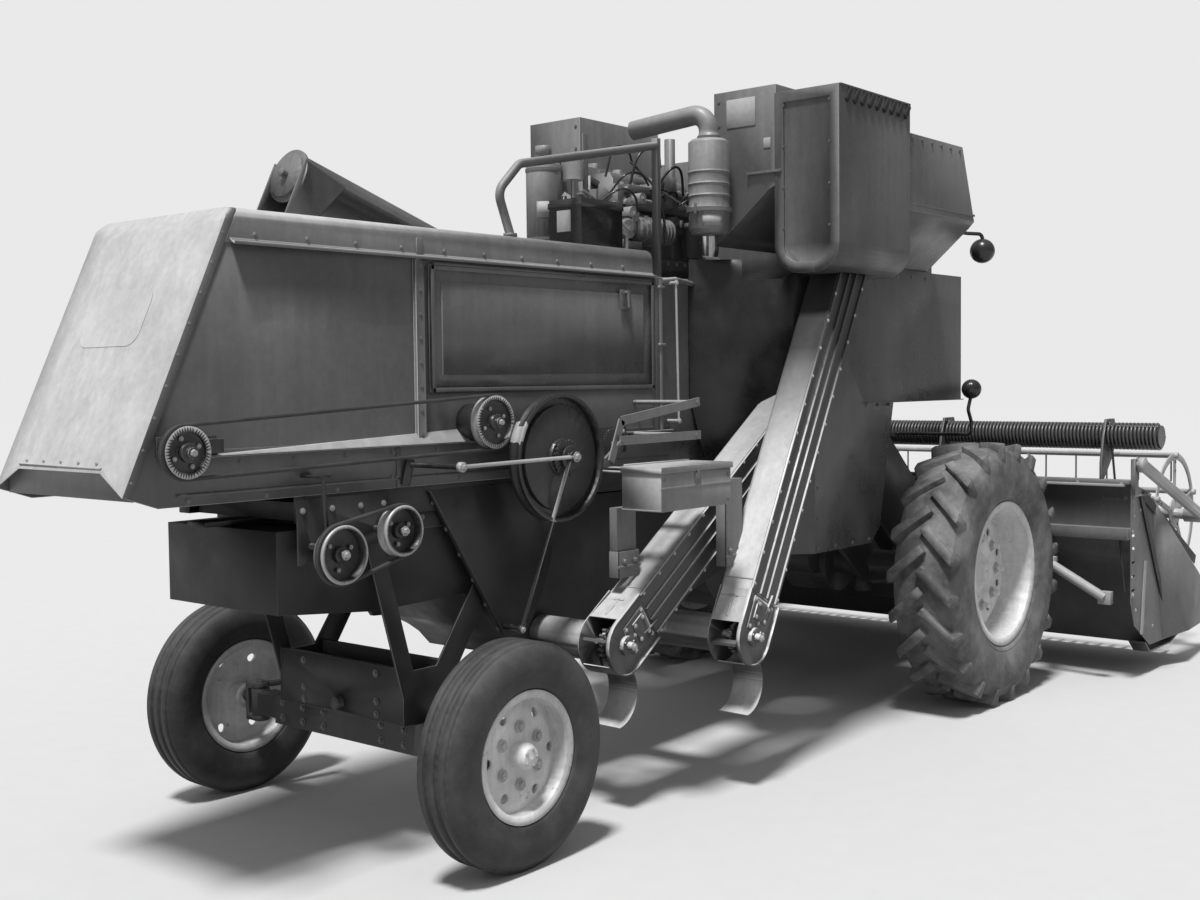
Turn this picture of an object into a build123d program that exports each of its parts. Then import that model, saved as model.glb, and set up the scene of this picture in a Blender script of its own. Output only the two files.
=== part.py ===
# Self-propelled combine harvester of the 1960s, with a 660 mm wide threshing body, two-sided grain
# tank, steered rear wheels and a cutting platform of 2.84 m.
# Millimetres. Stations are measured from the ground point under the rear axle: X forward, Y to the
# machine's left, Z up. place() moves every piece so that the model's origin is the middle of its box.
from build123d import *
import math
import os

os.makedirs("parts", exist_ok=True)

# Driving dimensions
ORIGIN_X = 2169.0          # middle of the machine's length, ahead of the rear axle
SHEET = 4.0                # body, tank and platform sheet
CLEAR = 0.3                # gap between pieces that sit on each other
WHEELBASE = 3206.0

# Wheels: radius to the tread's tips, width, rim flange radius, bead seat radius
FRONT_R = 645.0
FRONT_W = 345.0
FRONT_FLANGE = 355.6
FRONT_SEAT = 330.0
FRONT_BEAD = 138.0         # half the width between the rim's flanges
FRONT_TRACK = 1860.0
REAR_R = 381.0
REAR_W = 190.0
REAR_FLANGE = 222.5
REAR_SEAT = 203.0
REAR_BEAD = 63.0
REAR_TRACK = 1510.0
LUG_H = 28.0
LUG_PAIRS = 20

# Threshing body
BODY_HALF = 360.0
BODY_LOW = 1262.0
BODY_TOP = 2050.0
BODY_FRONT = WHEELBASE + 194.0
FLOOR_Z = 1556.0           # underside of the operator's floor
DECK_TOP = 2160.0
DECK_FRONT = 1300.0
HOOD_SLOPE = 0.449         # rearward run of the hood for each millimetre down
HOOD_TOP_X = -839.0
HOOD_TOP_Z = 2097.0
HOOD_LOW_Z = 1367.0
HOOD_TIP_Z = 1300.0
HOOD_FLAT = 233.0          # half width of the hood's flat middle
HOOD_EDGE = 20.0           # how far its side strips fold forward
HOOD_FLANGE = 30.0         # how far its edge returns along the body's side
DOOR_X0 = 20.0
DOOR_X1 = 1285.0
DOOR_Z0 = 1585.0
DOOR_Z1 = 2030.0

# Rear axle and steering
AXLE_BEAM = 110.0
AXLE_TUBE = 84.0
BEAM_HALF = 450.0
KINGPIN_Y = 612.0
KINGPIN_R = 17.0
KNUCKLE_H = 150.0

# Grain tank
TANK_REAR = 1720.0
TANK_MID = 2330.0
TANK_FRONT = BODY_FRONT - 380.0
TANK_HALF = 1000.0
TANK_TOP = 2700.0
WING_TOP = 2860.0
WING_IN = 385.0
WING_OUT = 700.0
BULGE_LOW = 2060.0

# Side shields
SHIELD_Y = 750.0
SHIELD_LEDGE = 1500.0
SHIELD_LOW = 850.0
SHIELD_TOP = 2130.0

# Elevators: station and height of the lower shaft, middle plane, slope from the horizontal
TAIL_X = 650.0
TAIL_Z = 640.0
TAIL_Y = 650.0
TAIL_SLOPE = 34.0
GRAIN_X = 1195.0
GRAIN_Z = 612.0
GRAIN_Y = 850.0
GRAIN_SLOPE = 61.5
LEG_W = 130.0
LEG_D = 200.0
BOOT_R = 112.0

# Feeder house and cutting platform
LIFT_X = WHEELBASE - 26.0
LIFT_Z = 1250.0
LIFT_R = 236.0
FEEDER_HALF = 315.0
HEAD_HALF = 1420.0
HEAD_BACK = WHEELBASE + 779.0
HEAD_TOP = 1050.0
HEAD_BEND = 760.0
HEAD_LOW_X = HEAD_BACK + 305.0
HEAD_LOW = 170.0
KNIFE_X = HEAD_BACK + 865.0
AUGER_X = HEAD_BACK + 435.0
AUGER_Z = 430.0
AUGER_R = 215.0
AUGER_TUBE = 110.0
REEL_X = HEAD_BACK + 1015.0
REEL_Z = 810.0
REEL_HALF = HEAD_HALF - 75.0
REEL_PIVOT_X = HEAD_BACK + 25.0
REEL_PIVOT_Z = 1150.0
SPRING_X = HEAD_BACK + 105.0
SPRING_Z = 1295.0
SPRING_R = 73.0
SPRING_HALF = 1545.0
TIP_X = KNIFE_X + 665.0

# Unloading auger
SPOUT_X = 1880.0
SPOUT_Y = 880.0
SPOUT_Z = 1890.0
UNLOAD_R = 105.0
UNLOAD_SLOPE = 17.9
UNLOAD_LEN = 1545.0
KNEE_RISE = 130.0          # the knee's centre above the swivel


def block(x0, x1, y0, y1, z0, z1):
    size = Box(abs(x1 - x0), abs(y1 - y0), abs(z1 - z0))
    return Pos((x0 + x1) / 2, (y0 + y1) / 2, (z0 + z1) / 2) * size


def plate_y(points, y0, y1):
    """Outline in X and Z, given its thickness from y0 to y1."""
    face = Face(Wire.make_polygon([Vector(x, y0, z) for x, z in points], close=True))
    return extrude(face, amount=y1 - y0, dir=(0, 1, 0))


def plate_x(points, x0, x1):
    """Outline in Y and Z, given its thickness from x0 to x1."""
    face = Face(Wire.make_polygon([Vector(x0, y, z) for y, z in points], close=True))
    return extrude(face, amount=x1 - x0, dir=(1, 0, 0))


def plate_z(points, z0, z1):
    """Outline in X and Y, given its thickness from z0 to z1."""
    face = Face(Wire.make_polygon([Vector(x, y, z0) for x, y in points], close=True))
    return extrude(face, amount=z1 - z0, dir=(0, 0, 1))


def disc_y(x, z, radius, y0, y1):
    return Pos(x, (y0 + y1) / 2, z) * Rot(90, 0, 0) * Cylinder(radius, abs(y1 - y0))


def disc_x(y, z, radius, x0, x1):
    return Pos((x0 + x1) / 2, y, z) * Rot(0, 90, 0) * Cylinder(radius, abs(x1 - x0))


def disc_z(x, y, radius, z0, z1):
    return Pos(x, y, (z0 + z1) / 2) * Cylinder(radius, abs(z1 - z0))


def rod(start, end, radius):
    a = Vector(*start)
    b = Vector(*end)
    plane = Plane(origin=(a + b) / 2, z_dir=b - a)
    return plane * Cylinder(radius, (b - a).length)


def strip(start, end, wide, thick, face_dir):
    """Flat bar from start to end, thick along face_dir."""
    a = Vector(*start)
    b = Vector(*end)
    run = b - a
    side = run.cross(Vector(*face_dir))
    plane = Plane(origin=(a + b) / 2, x_dir=side, z_dir=run)
    return plane * Box(wide, thick, run.length)


def pipe(points, radius, bend):
    """Round tube bent along the points, with one bend radius."""
    path = FilletPolyline(*points, radius=bend)
    start = path @ 0
    return sweep(Plane(origin=start, z_dir=path % 0) * Circle(radius), path=path)


def ring_y(profile, y_mid):
    """Solid of revolution about the wheel's axle: profile gives radius and Y."""
    face = Face(Wire.make_polygon([Vector(r, y_mid + y, 0) for r, y in profile], close=True))
    return revolve(face, axis=Axis((0, y_mid, 0), (0, 1, 0)))


def mirrored(piece):
    return mirror(piece, about=Plane.XZ)


def place(name, *solids):
    """Writes one named piece, moved so that the model's origin is the middle of its box."""
    whole = Compound(children=[s for item in solids for s in item.solids()])
    export_step(Pos(-ORIGIN_X, 0, 0) * whole, f"parts/{name}.step")


# Threshing body: sheet sides, top and floor, open at the rear under the straw hood
def hood_x(z):
    return HOOD_TOP_X - (HOOD_TOP_Z - z) * HOOD_SLOPE


BODY_OUTLINE = [
    (-1060, BODY_LOW), (hood_x(HOOD_TIP_Z) + 26, HOOD_TIP_Z), (hood_x(BODY_TOP) + 26, BODY_TOP),
    (BODY_FRONT - 370, BODY_TOP), (BODY_FRONT - 280, FLOOR_Z), (BODY_FRONT - 280, FLOOR_Z - 56),
    (BODY_FRONT - 470, FLOOR_Z - 56), (BODY_FRONT - 470, 1010), (WHEELBASE - 756, 1010),
    (WHEELBASE - 756, BODY_LOW)]


def body():
    outer = plate_y(BODY_OUTLINE, -BODY_HALF, BODY_HALF)
    face = Face(Wire.make_polygon([Vector(x, -BODY_HALF + SHEET, z) for x, z in BODY_OUTLINE], close=True))
    inner = extrude(offset(face, amount=-SHEET, kind=Kind.INTERSECTION),
                    amount=2 * (BODY_HALF - SHEET), dir=(0, 1, 0))
    rear_open = plate_y([(-1400, 1200), (-450, 1200), (-450, BODY_TOP - SHEET), (-1400, BODY_TOP - SHEET)],
                        -BODY_HALF + SHEET, BODY_HALF - SHEET)
    shell = outer - inner - rear_open
    top_open = block(-700, DECK_FRONT - 40, -BODY_HALF + 40, BODY_HALF - 40, BODY_TOP - 10, BODY_TOP + 10)
    door_hole = block(DOOR_X0 + 30, DOOR_X1 - 30, -BODY_HALF - 1, -BODY_HALF + SHEET + 1,
                      DOOR_Z0 + 30, DOOR_Z1 - 30)
    shell = shell - top_open - door_hole
    for side in (-1, 1):
        y0 = side * BODY_HALF
        y1 = side * (BODY_HALF + 26)
        shell += block(-1010, DOOR_X1 + 120, min(y0, y1), max(y0, y1), 1404, 1410)
        shell += block(-48, -8, min(y0, side * (BODY_HALF + 14)), max(y0, side * (BODY_HALF + 14)), 1410,
                       2044)
    return shell


place("separator_body", body())


# Straw hood: a flat middle between two slightly folded strips, a cap that turns onto the deck, and
# an edge that returns along the body's sides
def roof_prism(half, top, radius, x0, x1, low=1150.0):
    """Solid under a roof with two rounded shoulders."""
    path = Plane.YZ * FilletPolyline((-half, low), (-half, top), (half, top), (half, low), radius=radius)
    sill = Line(path @ 1, path @ 0)
    face = make_face(path.edges() + sill.edges())
    return Pos(x0, 0, 0) * extrude(face, amount=x1 - x0, dir=(1, 0, 0))


def ahead_of_hood(shift):
    """Everything ahead of the hood's outer face, when the face is moved forward by shift."""
    reach = 600.0
    side = HOOD_EDGE / (BODY_HALF + 3 - HOOD_FLAT) * (reach - HOOD_FLAT)
    z1 = DECK_TOP + 140
    x1 = hood_x(z1) + shift
    section = [(x1 + side, -reach), (x1, -HOOD_FLAT), (x1, HOOD_FLAT), (x1 + side, reach), (1500, reach),
               (1500, -reach)]
    face = Face(Wire.make_polygon([Vector(x, y, z1) for x, y in section], close=True))
    fall = Vector(-HOOD_SLOPE, 0, -1) * 1250
    rake = extrude(face, amount=fall.length, dir=tuple(fall.normalized()))
    x_cap = HOOD_TOP_X + shift
    below_cap = plate_y([(x_cap - 700, 1000), (x_cap - 700, HOOD_TOP_Z - 700),
                         (x_cap + 300, HOOD_TOP_Z + 300),
                         (1500, HOOD_TOP_Z + 300), (1500, 1000)], -reach, reach)
    return rake & below_cap


def hood():
    outer = roof_prism(BODY_HALF + 3, DECK_TOP, 45, -1400, -400) & ahead_of_hood(0)
    inner = roof_prism(BODY_HALF + CLEAR, DECK_TOP - 3, 42.3, -1400, -400) & ahead_of_hood(4.4)
    fall = (HOOD_LOW_Z - HOOD_TIP_Z) / (BODY_HALF + 3 - HOOD_FLAT)
    wide = BODY_HALF + 100
    under = plate_x([(-wide, HOOD_LOW_Z - fall * (wide - HOOD_FLAT)), (-HOOD_FLAT, HOOD_LOW_Z),
                     (HOOD_FLAT, HOOD_LOW_Z), (wide, HOOD_LOW_Z - fall * (wide - HOOD_FLAT)), (wide, 1000),
                     (-wide, 1000)], -1500, 0)
    skin = outer - inner - ahead_of_hood(HOOD_FLANGE) - under
    band = [(hood_x(HOOD_LOW_Z) + 30, HOOD_LOW_Z + 20), (hood_x(HOOD_LOW_Z) + 34, HOOD_LOW_Z + 20),
            (-1132, 1286), (-1136, 1286)]
    lower = plate_y(band, -BODY_HALF + 8, BODY_HALF - 8)
    web = plate_y([(hood_x(HOOD_LOW_Z) + 2, HOOD_LOW_Z + 12), (hood_x(HOOD_LOW_Z) + 40, HOOD_LOW_Z + 12),
                   (hood_x(HOOD_LOW_Z) + 40, HOOD_LOW_Z + 16), (hood_x(HOOD_LOW_Z) + 2, HOOD_LOW_Z + 16)],
                  -HOOD_FLAT, HOOD_FLAT)
    return skin + web + lower


straw_hood = hood() - body()
place("straw_hood", straw_hood)


# Deck cover: an inverted tray with rounded shoulders and a rain gutter along each side
GUTTER_OUT = 20.0


def deck_cover():
    half = BODY_HALF + 3
    low = BODY_TOP + CLEAR
    tray = roof_prism(half, DECK_TOP, 45, HOOD_TOP_X - 50, DECK_FRONT, low)
    tray -= roof_prism(half - SHEET, DECK_TOP - SHEET, 45 - SHEET, HOOD_TOP_X - 60, DECK_FRONT + 1, low - 10)
    for side in (-1, 1):
        gutter = plate_x([(side * (half - 1), low + 8), (side * (half + GUTTER_OUT), low - 8),
                          (side * (half + GUTTER_OUT + 3), low + 2), (side * (half + GUTTER_OUT), low + 2),
                          (side * (half + GUTTER_OUT - 1), low - 4), (side * (half - 1), low + 12)],
                         HOOD_TOP_X + 47, DECK_FRONT)
        tray += gutter
    return tray & ahead_of_hood(HOOD_FLANGE + CLEAR)


place("deck_cover", deck_cover())

# Side door over the straw walkers, hinged along its top edge, right side
door = block(DOOR_X0, DOOR_X1, -BODY_HALF - CLEAR - SHEET, -BODY_HALF - CLEAR, DOOR_Z0, DOOR_Z1)
door += block(DOOR_X0 + 60, DOOR_X1 - 60, -BODY_HALF - 9, -BODY_HALF - SHEET, DOOR_Z0 + 60, DOOR_Z1 - 60)
door += disc_x(-BODY_HALF - 10, DOOR_Z1, 7, DOOR_X0 + 20, DOOR_X1 - 20)
place("walker_door", door)


# Main frame: two sills, cross members, the cheeks that carry the feeder house, and the tow plate
SILL_H = 90.0
SILL_Y0 = 290.0
SILL_Y1 = 352.0
LEG_T = 8.0
PIVOT_Z = 470.0
TOW_X = -650.0             # tow plate's pin hole behind the rear cross member
TOW_R = 15.0
TOW_T = 16.0


def main_frame():
    frame = None
    front = WHEELBASE - 766
    for side in (-1, 1):
        y0 = side * SILL_Y0
        y1 = side * SILL_Y1
        sill = block(-520, front, min(y0, y1), max(y0, y1), BODY_LOW - SILL_H, BODY_LOW)
        frame = sill if frame is None else frame + sill
    for x in (-480, 900, front - 60):
        frame += block(x, x + 60, -SILL_Y0, SILL_Y0, BODY_LOW - SILL_H, BODY_LOW - SILL_H + 60)
    for side in (-1, 1):
        y4 = side * (BODY_HALF + CLEAR)
        y5 = side * (BODY_HALF + 8)
        frame += plate_y([(LIFT_X - 440, 1440), (LIFT_X - 440, 1140), (LIFT_X + 10, 1180),
                          (LIFT_X + 65, LIFT_Z),
                          (LIFT_X + 10, 1320)], min(y4, y5), max(y4, y5))
        y6 = side * (BODY_HALF + 22)
        frame += disc_y(LIFT_X, LIFT_Z, 58, min(y4, y6), max(y4, y6))
    tow = block(TOW_X - 40, -420, -50, 50, BODY_LOW - SILL_H - TOW_T, BODY_LOW - SILL_H)
    tow -= disc_z(TOW_X, 0, TOW_R, 1000, 1400)
    return frame + tow


place("main_frame", main_frame())

# Axle stand: two A-shaped side plates under the sills, flanged along their edges, and the box that
# holds the rear axle's pin
STAND_Y = 341.0
STAND_TOP = BODY_LOW - SILL_H - CLEAR


def axle_stand():
    foot = PIVOT_Z - 40
    knee = PIVOT_Z + 60
    stand = None
    for side in (-1, 1):
        y0 = side * (STAND_Y - LEG_T)
        y1 = side * STAND_Y
        outline = [(-290, STAND_TOP), (540, STAND_TOP), (110, knee), (110, foot), (-110, foot), (-110, knee)]
        hole = [(-200, STAND_TOP - 60), (400, STAND_TOP - 60), (50, knee + 90), (-60, knee + 90)]
        leg = plate_y(outline, min(y0, y1), max(y0, y1)) - plate_y(hole, min(y0, y1) - 1, max(y0, y1) + 1)
        stand = leg if stand is None else stand + leg
        y2 = side * (SILL_Y0 + 4)
        stand += block(-290, 540, min(y2, y1), max(y2, y1), STAND_TOP - 8, STAND_TOP)
    for x in (-110, 90):
        stand += block(x, x + 20, -STAND_Y, STAND_Y, foot, PIVOT_Z + 160)
    return stand - disc_x(0, PIVOT_Z, 26, -200, 200)


place("axle_stand", axle_stand())


# Rear axle: box beam on a fore-and-aft pin, with a telescoping tube and kingpin head at each end
def rear_axle():
    z0 = REAR_R - 10 - AXLE_BEAM / 2
    z1 = z0 + AXLE_BEAM
    beam = block(-AXLE_BEAM / 2, AXLE_BEAM / 2, -BEAM_HALF, BEAM_HALF, z0, z1)
    lug = block(-60, 60, -70, 70, z1, PIVOT_Z + 6) + disc_x(0, PIVOT_Z, 46, -60, 60)
    axle = beam + lug + disc_x(0, PIVOT_Z, 25, -135, 135)
    mid = (z0 + z1) / 2
    t = AXLE_TUBE / 2
    for side in (-1, 1):
        y0 = side * BEAM_HALF
        y1 = side * (KINGPIN_Y - 34)
        axle += block(-t, t, min(y0, y1), max(y0, y1), mid - t, mid + t)
        axle += disc_z(0, side * KINGPIN_Y, 36, mid - KNUCKLE_H / 2 + 25, mid + KNUCKLE_H / 2 - 25)
        axle -= disc_z(0, side * KINGPIN_Y, KINGPIN_R + CLEAR, mid - 200, mid + 200)
    return axle


place("rear_axle", rear_axle())


# Knuckle: kingpin, two jaws, spindle and steering arm
def knuckle(side):
    mid = REAR_R - 10
    y = side * KINGPIN_Y
    half = KNUCKLE_H / 2
    pin = disc_z(0, y, KINGPIN_R, mid - half - 5, mid + half + 5)
    jaws = disc_z(0, y, 34, mid + half - 24, mid + half) + disc_z(0, y, 34, mid - half, mid - half + 24)
    back0 = side * (KINGPIN_Y + 37)
    back1 = side * (KINGPIN_Y + 54)
    web = block(-32, 32, min(back0, back1), max(back0, back1), mid - half, mid + half)
    for z in (mid + half - 24, mid - half):
        web += block(-32, 32, min(y, back1), max(y, back1), z, z + 24)
    tip = side * (REAR_TRACK / 2 + 62)
    spindle = disc_y(0, REAR_R, 21, min(back1, tip), max(back1, tip))
    arm_z = mid + half - 22
    arm = strip((20, y, arm_z + 8), (205, side * (KINGPIN_Y - 38), arm_z + 8), 40, 16, (0, 0, 1))
    ball = disc_z(205, side * (KINGPIN_Y - 38), 20, arm_z, arm_z + 34)
    return pin + jaws + web + spindle + arm + ball


place("knuckle_right", knuckle(-1))
place("knuckle_left", knuckle(1))

# Tie rod between the steering arms, clear of their balls
TIE_Z = REAR_R - 10 + KNUCKLE_H / 2 + 32
tie_half = KINGPIN_Y - 38
tie = disc_y(205, TIE_Z, 13, -tie_half - 18, tie_half + 18)
for side in (-1, 1):
    tie += disc_z(205, side * tie_half, 19, TIE_Z - 20 + CLEAR, TIE_Z + 16)
place("tie_rod", tie)


# Tyres: carcass by revolving, then lugs or ribs
def front_tyre():
    crown = FRONT_R - LUG_H
    half = FRONT_W / 2
    bead = FRONT_BEAD - CLEAR
    profile = [(FRONT_SEAT, bead), (FRONT_FLANGE + 1, bead + 3), (FRONT_FLANGE + 14, half * 0.90),
               (crown - 150, half), (crown - 60, half * 0.97), (crown - 14, half * 0.84),
               (crown, half * 0.45)]
    profile += [(r, -y) for r, y in reversed(profile)]
    profile += [(FRONT_SEAT, -bead + 30), (crown - 150, -half + 30), (crown - 60, -half + 45),
                (crown - 60, half - 45), (crown - 150, half - 30), (FRONT_SEAT, bead - 30)]
    carcass = ring_y(profile, 0)
    lugs = []
    step = 360.0 / LUG_PAIRS
    for i in range(LUG_PAIRS):
        for hand in (-1, 1):
            angle = i * step + (step / 2 if hand > 0 else 0)
            bar = Pos(crown - 16, hand * half * 0.47, 0) * Rot(hand * 42, 0, 0) * Box(88, half * 1.34, 44)
            shoulder = ring_y([(crown - 50, -half * 0.985), (FRONT_R, -half * 0.93), (FRONT_R, half * 0.93),
                               (crown - 50, half * 0.985)], 0)
            lugs.append((Rot(0, angle, 0) * bar, shoulder))
    keep = lugs[0][1]
    bars = [bar & keep for bar, _ in lugs]
    return carcass + bars


def rear_tyre():
    half = REAR_W / 2
    bead = REAR_BEAD - CLEAR
    profile = [(REAR_SEAT, -bead), (REAR_FLANGE + 1, -bead - 2), (REAR_FLANGE + 10, -half * 0.84),
               (REAR_R - 85, -half), (REAR_R - 38, -half * 0.94), (REAR_R - 10, -half * 0.72)]
    for rib in (-0.50, 0.0, 0.50):
        profile += [(REAR_R - 10, half * (rib - 0.17)), (REAR_R, half * (rib - 0.13)),
                    (REAR_R, half * (rib + 0.13)), (REAR_R - 10, half * (rib + 0.17))]
    profile += [(REAR_R - 10, half * 0.72), (REAR_R - 38, half * 0.94), (REAR_R - 85, half),
                (REAR_FLANGE + 10, half * 0.84), (REAR_FLANGE + 1, bead + 2), (REAR_SEAT, bead),
                (REAR_SEAT, bead - 20), (REAR_R - 85, half - 18), (REAR_R - 50, half - 30),
                (REAR_R - 50, -half + 30), (REAR_R - 85, -half + 18), (REAR_SEAT, -bead + 20)]
    return ring_y(profile, 0)


def front_rim(side):
    half = FRONT_BEAD
    s = side
    profile = [(FRONT_FLANGE, s * (half + 12)), (FRONT_FLANGE, s * (half + 4)),
               (FRONT_SEAT - CLEAR, s * half),
               (FRONT_SEAT - CLEAR, -s * half), (FRONT_FLANGE, -s * (half + 4)),
               (FRONT_FLANGE, -s * (half + 12)),
               (FRONT_SEAT - 10, -s * (half + 6)), (FRONT_SEAT - 10, s * (half + 6))]
    barrel = ring_y(profile, 0)
    dish = ring_y([(FRONT_SEAT - 9, -s * 30), (FRONT_SEAT - 9, -s * 18), (250, s * 22), (130, s * 22),
                   (90, s * 6),
                   (72, s * 6), (72, -s * 8), (96, -s * 8), (136, s * 10), (244, s * 10)], 0)
    hub = ring_y([(0, -s * 120), (0, s * 60), (46, s * 60), (56, s * 44), (100, s * 5), (100, -s * 9),
                  (74, -s * 9), (74, -s * 120)], 0)
    bolts = [Rot(0, a, 0) * disc_y(168, 0, 13, s * 20, s * 64) for a in range(0, 360, 45)]
    holes = [Rot(0, a + 22.5, 0) * disc_y(205, 0, 20, -60, 60) for a in range(0, 360, 45)]
    stopped = 0.0 if s < 0 else 11.25    # the wheels come to rest at different turns
    return Rot(0, stopped, 0) * (barrel + (dish - holes) + hub + bolts)


def rear_rim(side):
    half = REAR_BEAD
    s = side
    barrel = ring_y([(REAR_FLANGE, s * (half + 10)), (REAR_FLANGE, s * (half + 3)),
                     (REAR_SEAT - CLEAR, s * half),
                     (REAR_SEAT - CLEAR, -s * half), (REAR_FLANGE, -s * (half + 3)),
                     (REAR_FLANGE, -s * (half + 10)), (REAR_SEAT - 8, -s * (half + 5)),
                     (REAR_SEAT - 8, s * (half + 5))], 0)
    dish = ring_y([(REAR_SEAT - 7, -s * 4), (REAR_SEAT - 7, s * 10), (150, s * 30), (60, s * 24),
                   (44, s * 24),
                   (44, s * 16), (60, s * 16), (146, s * 20), (REAR_SEAT - 20, s * 2)], 0)
    hub = ring_y([(22, -s * 55), (22, s * 64), (0, s * 64), (0, s * 86), (34, s * 82), (46, s * 60),
                  (46, s * 24),
                  (64, s * 24), (64, s * 15), (48, s * 15), (48, -s * 55)], 0)
    lobes = [Rot(0, a, 0) * disc_y(98, 0, 15, s * 18, s * 34) for a in range(30, 390, 60)]
    slots = [Rot(0, a, 0) * disc_y(150, 0, 17, -50, 60) for a in range(0, 360, 60)]
    return barrel + (dish - slots) + hub + lobes


right_tyre = front_tyre()
for side, hand in ((-1, "right"), (1, "left")):
    spot = Pos(WHEELBASE, side * FRONT_TRACK / 2, FRONT_R)
    place(f"front_tyre_{hand}", spot * (right_tyre if side < 0 else mirrored(right_tyre)))
    place(f"front_rim_{hand}", spot * front_rim(side))
    spot = Pos(0, side * REAR_TRACK / 2, REAR_R)
    place(f"rear_tyre_{hand}", spot * rear_tyre())
    place(f"rear_rim_{hand}", spot * rear_rim(side))


# Front axle: tube, gear case, final drives and the two posts that carry the body
POST_Y = 332.0


def front_axle():
    inner = FRONT_TRACK / 2 - 120 - CLEAR
    tube = disc_y(WHEELBASE, FRONT_R, 70, -inner, inner)
    case = disc_y(WHEELBASE, FRONT_R, 165, -150, 110) + disc_y(WHEELBASE - 190, FRONT_R + 40, 95, -120, 80)
    for side in (-1, 1):
        y0 = side * (inner - 150)
        y1 = side * (inner - 40)
        case += disc_y(WHEELBASE, FRONT_R, 150, min(y0, y1), max(y0, y1))
        p0 = side * POST_Y
        p1 = side * (POST_Y + 26)
        post = [(WHEELBASE - 726, 1010), (WHEELBASE - 281, 1010), (WHEELBASE + 90, FRONT_R + 40),
                (WHEELBASE + 90, FRONT_R - 90),
                (WHEELBASE - 110, FRONT_R - 90), (WHEELBASE - 506, 880)]
        case += plate_y(post, min(p0, p1), max(p0, p1))
    return tube + case


place("front_axle", front_axle())


# Cleaning shoe: sheet housing under the body with two auger troughs and the fan drum ahead of it,
# between two hopper sides that hang from the sills
SHOE_HALF = 300.0
SIDE_Y = SILL_Y1 + CLEAR   # inner face of the hopper's side sheets, against the sills
SIDE_T = 4.0
SIDE_EDGE = 24.0           # how far their rear edge turns outwards
SIDE_FOOT = (366.0, 683.0)
SHOE_REAR = -600.0
TOW_FRONT = -400.0


def cleaning_shoe():
    top = BODY_LOW - SILL_H - 12
    outline = [(TOW_FRONT, top), (TOW_FRONT, top - 12), (SHOE_REAR, top - 12), (SHOE_REAR, 880),
               (-180, 840), (230, 850), (400, 690), (500, 640),
               (TAIL_X - 90, 600), (TAIL_X - 30, 540), (TAIL_X + 50, 540), (TAIL_X + 150, 640),
               (GRAIN_X - 110, 600), (GRAIN_X - 40, 512), (GRAIN_X + 40, 512), (GRAIN_X + 140, 600),
               (1700, 700),
               (WHEELBASE - 826, 900), (WHEELBASE - 826, top)]
    house = plate_y(outline, -SHOE_HALF, SHOE_HALF)
    fan = disc_y(2020, 830, 270, -SHOE_HALF + 20, SHOE_HALF - 20)
    return house + fan


def hopper_side(side):
    """Side sheet that narrows down to the tailings auger, with its rear edge turned outwards."""
    y0 = side * SIDE_Y
    y1 = side * (SIDE_Y + SIDE_T)
    y2 = side * (SIDE_Y + SIDE_EDGE)
    foot_x, foot_z = SIDE_FOOT
    top_z = BODY_LOW - 20
    sheet = plate_y([(0, top_z), (foot_x, foot_z), (502, 674), (571, 767), (649, 931), (700, top_z)],
                    min(y0, y1), max(y0, y1))
    edge = plate_y([(0, top_z), (foot_x, foot_z), (foot_x + 5, foot_z), (5, top_z)], min(y0, y2), max(y0, y2))
    return sheet + edge


place("cleaning_shoe", cleaning_shoe(), hopper_side(-1), hopper_side(1))


# Belt drives on the right side: walker belt, big pulley with its pitman rods, and the lower pair
DRIVE_Y = 480.0


def pulley(x, z, radius, y_mid, wide=34.0, bore=0.0):
    """V-belt pulley with a dished web and a hub."""
    h = wide / 2
    rim = ring_y([(radius - 16, -h), (radius, -h), (radius - 9, 0), (radius, h), (radius - 16, h)], 0)
    web = ring_y([(bore, -6), (bore, 6), (radius - 15, 4), (radius - 15, -4)], 0)
    hub = ring_y([(bore, -h - 8), (bore, h + 8), (28, h + 8), (28, -h - 8)], 0) if radius > 40 else web
    return Pos(x, y_mid, z) * (rim + web + hub)


BELT_DEPTH = 4.2           # how deep the belt's flat runs inside the pulley's rim


def belt(x0, z0, r0, x1, z1, r1, y_mid, wide=17.0, thick=11.0):
    """Belt loop round two pulleys, sitting on their rims."""
    run = Vector(x1 - x0, 0, z1 - z0)
    along = math.degrees(math.atan2(z1 - z0, x1 - x0))
    lean = math.degrees(math.asin((r0 - r1) / run.length))

    def loop(extra):
        def at(cx, cz, r, deg):
            a = math.radians(deg)
            return (cx + (r + extra) * math.cos(a), cz + (r + extra) * math.sin(a))
        a0 = at(x0, z0, r0, along + 90 - lean)
        a1 = at(x1, z1, r1, along + 90 - lean)
        b1 = at(x1, z1, r1, along - 90 + lean)
        b0 = at(x0, z0, r0, along - 90 + lean)
        end1 = at(x1, z1, r1, along)
        end0 = at(x0, z0, r0, along + 180)
        edges = [Line(a0, a1), ThreePointArc(a1, end1, b1), Line(b1, b0), ThreePointArc(b0, end0, a0)]
        return make_face([e for curve in edges for e in curve.edges()])

    flat = loop(thick - BELT_DEPTH) - loop(-BELT_DEPTH)
    solid = extrude(Plane.XZ * flat, amount=wide)
    return Pos(0, y_mid + wide / 2, 0) * solid


P1 = (-1045, 1428, 76)
P2 = (210, 1477, 94)
BIG = (500, 1338, 236)
BIG_Y = -528.0
P4 = (-486, 1078, 95)
P5 = (-234, 1132, 85)
CRANK = (485, 1344)        # pin of the two pitman rods on the big pulley
CRANK_Y = -618.0
LEVER = (-84, 1338)
HOPPER_PIN = (376, 712)


def shaft_stub(x, z, y_out, radius=16.0):
    return disc_y(x, z, radius, -y_out, -BODY_HALF - CLEAR)


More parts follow.
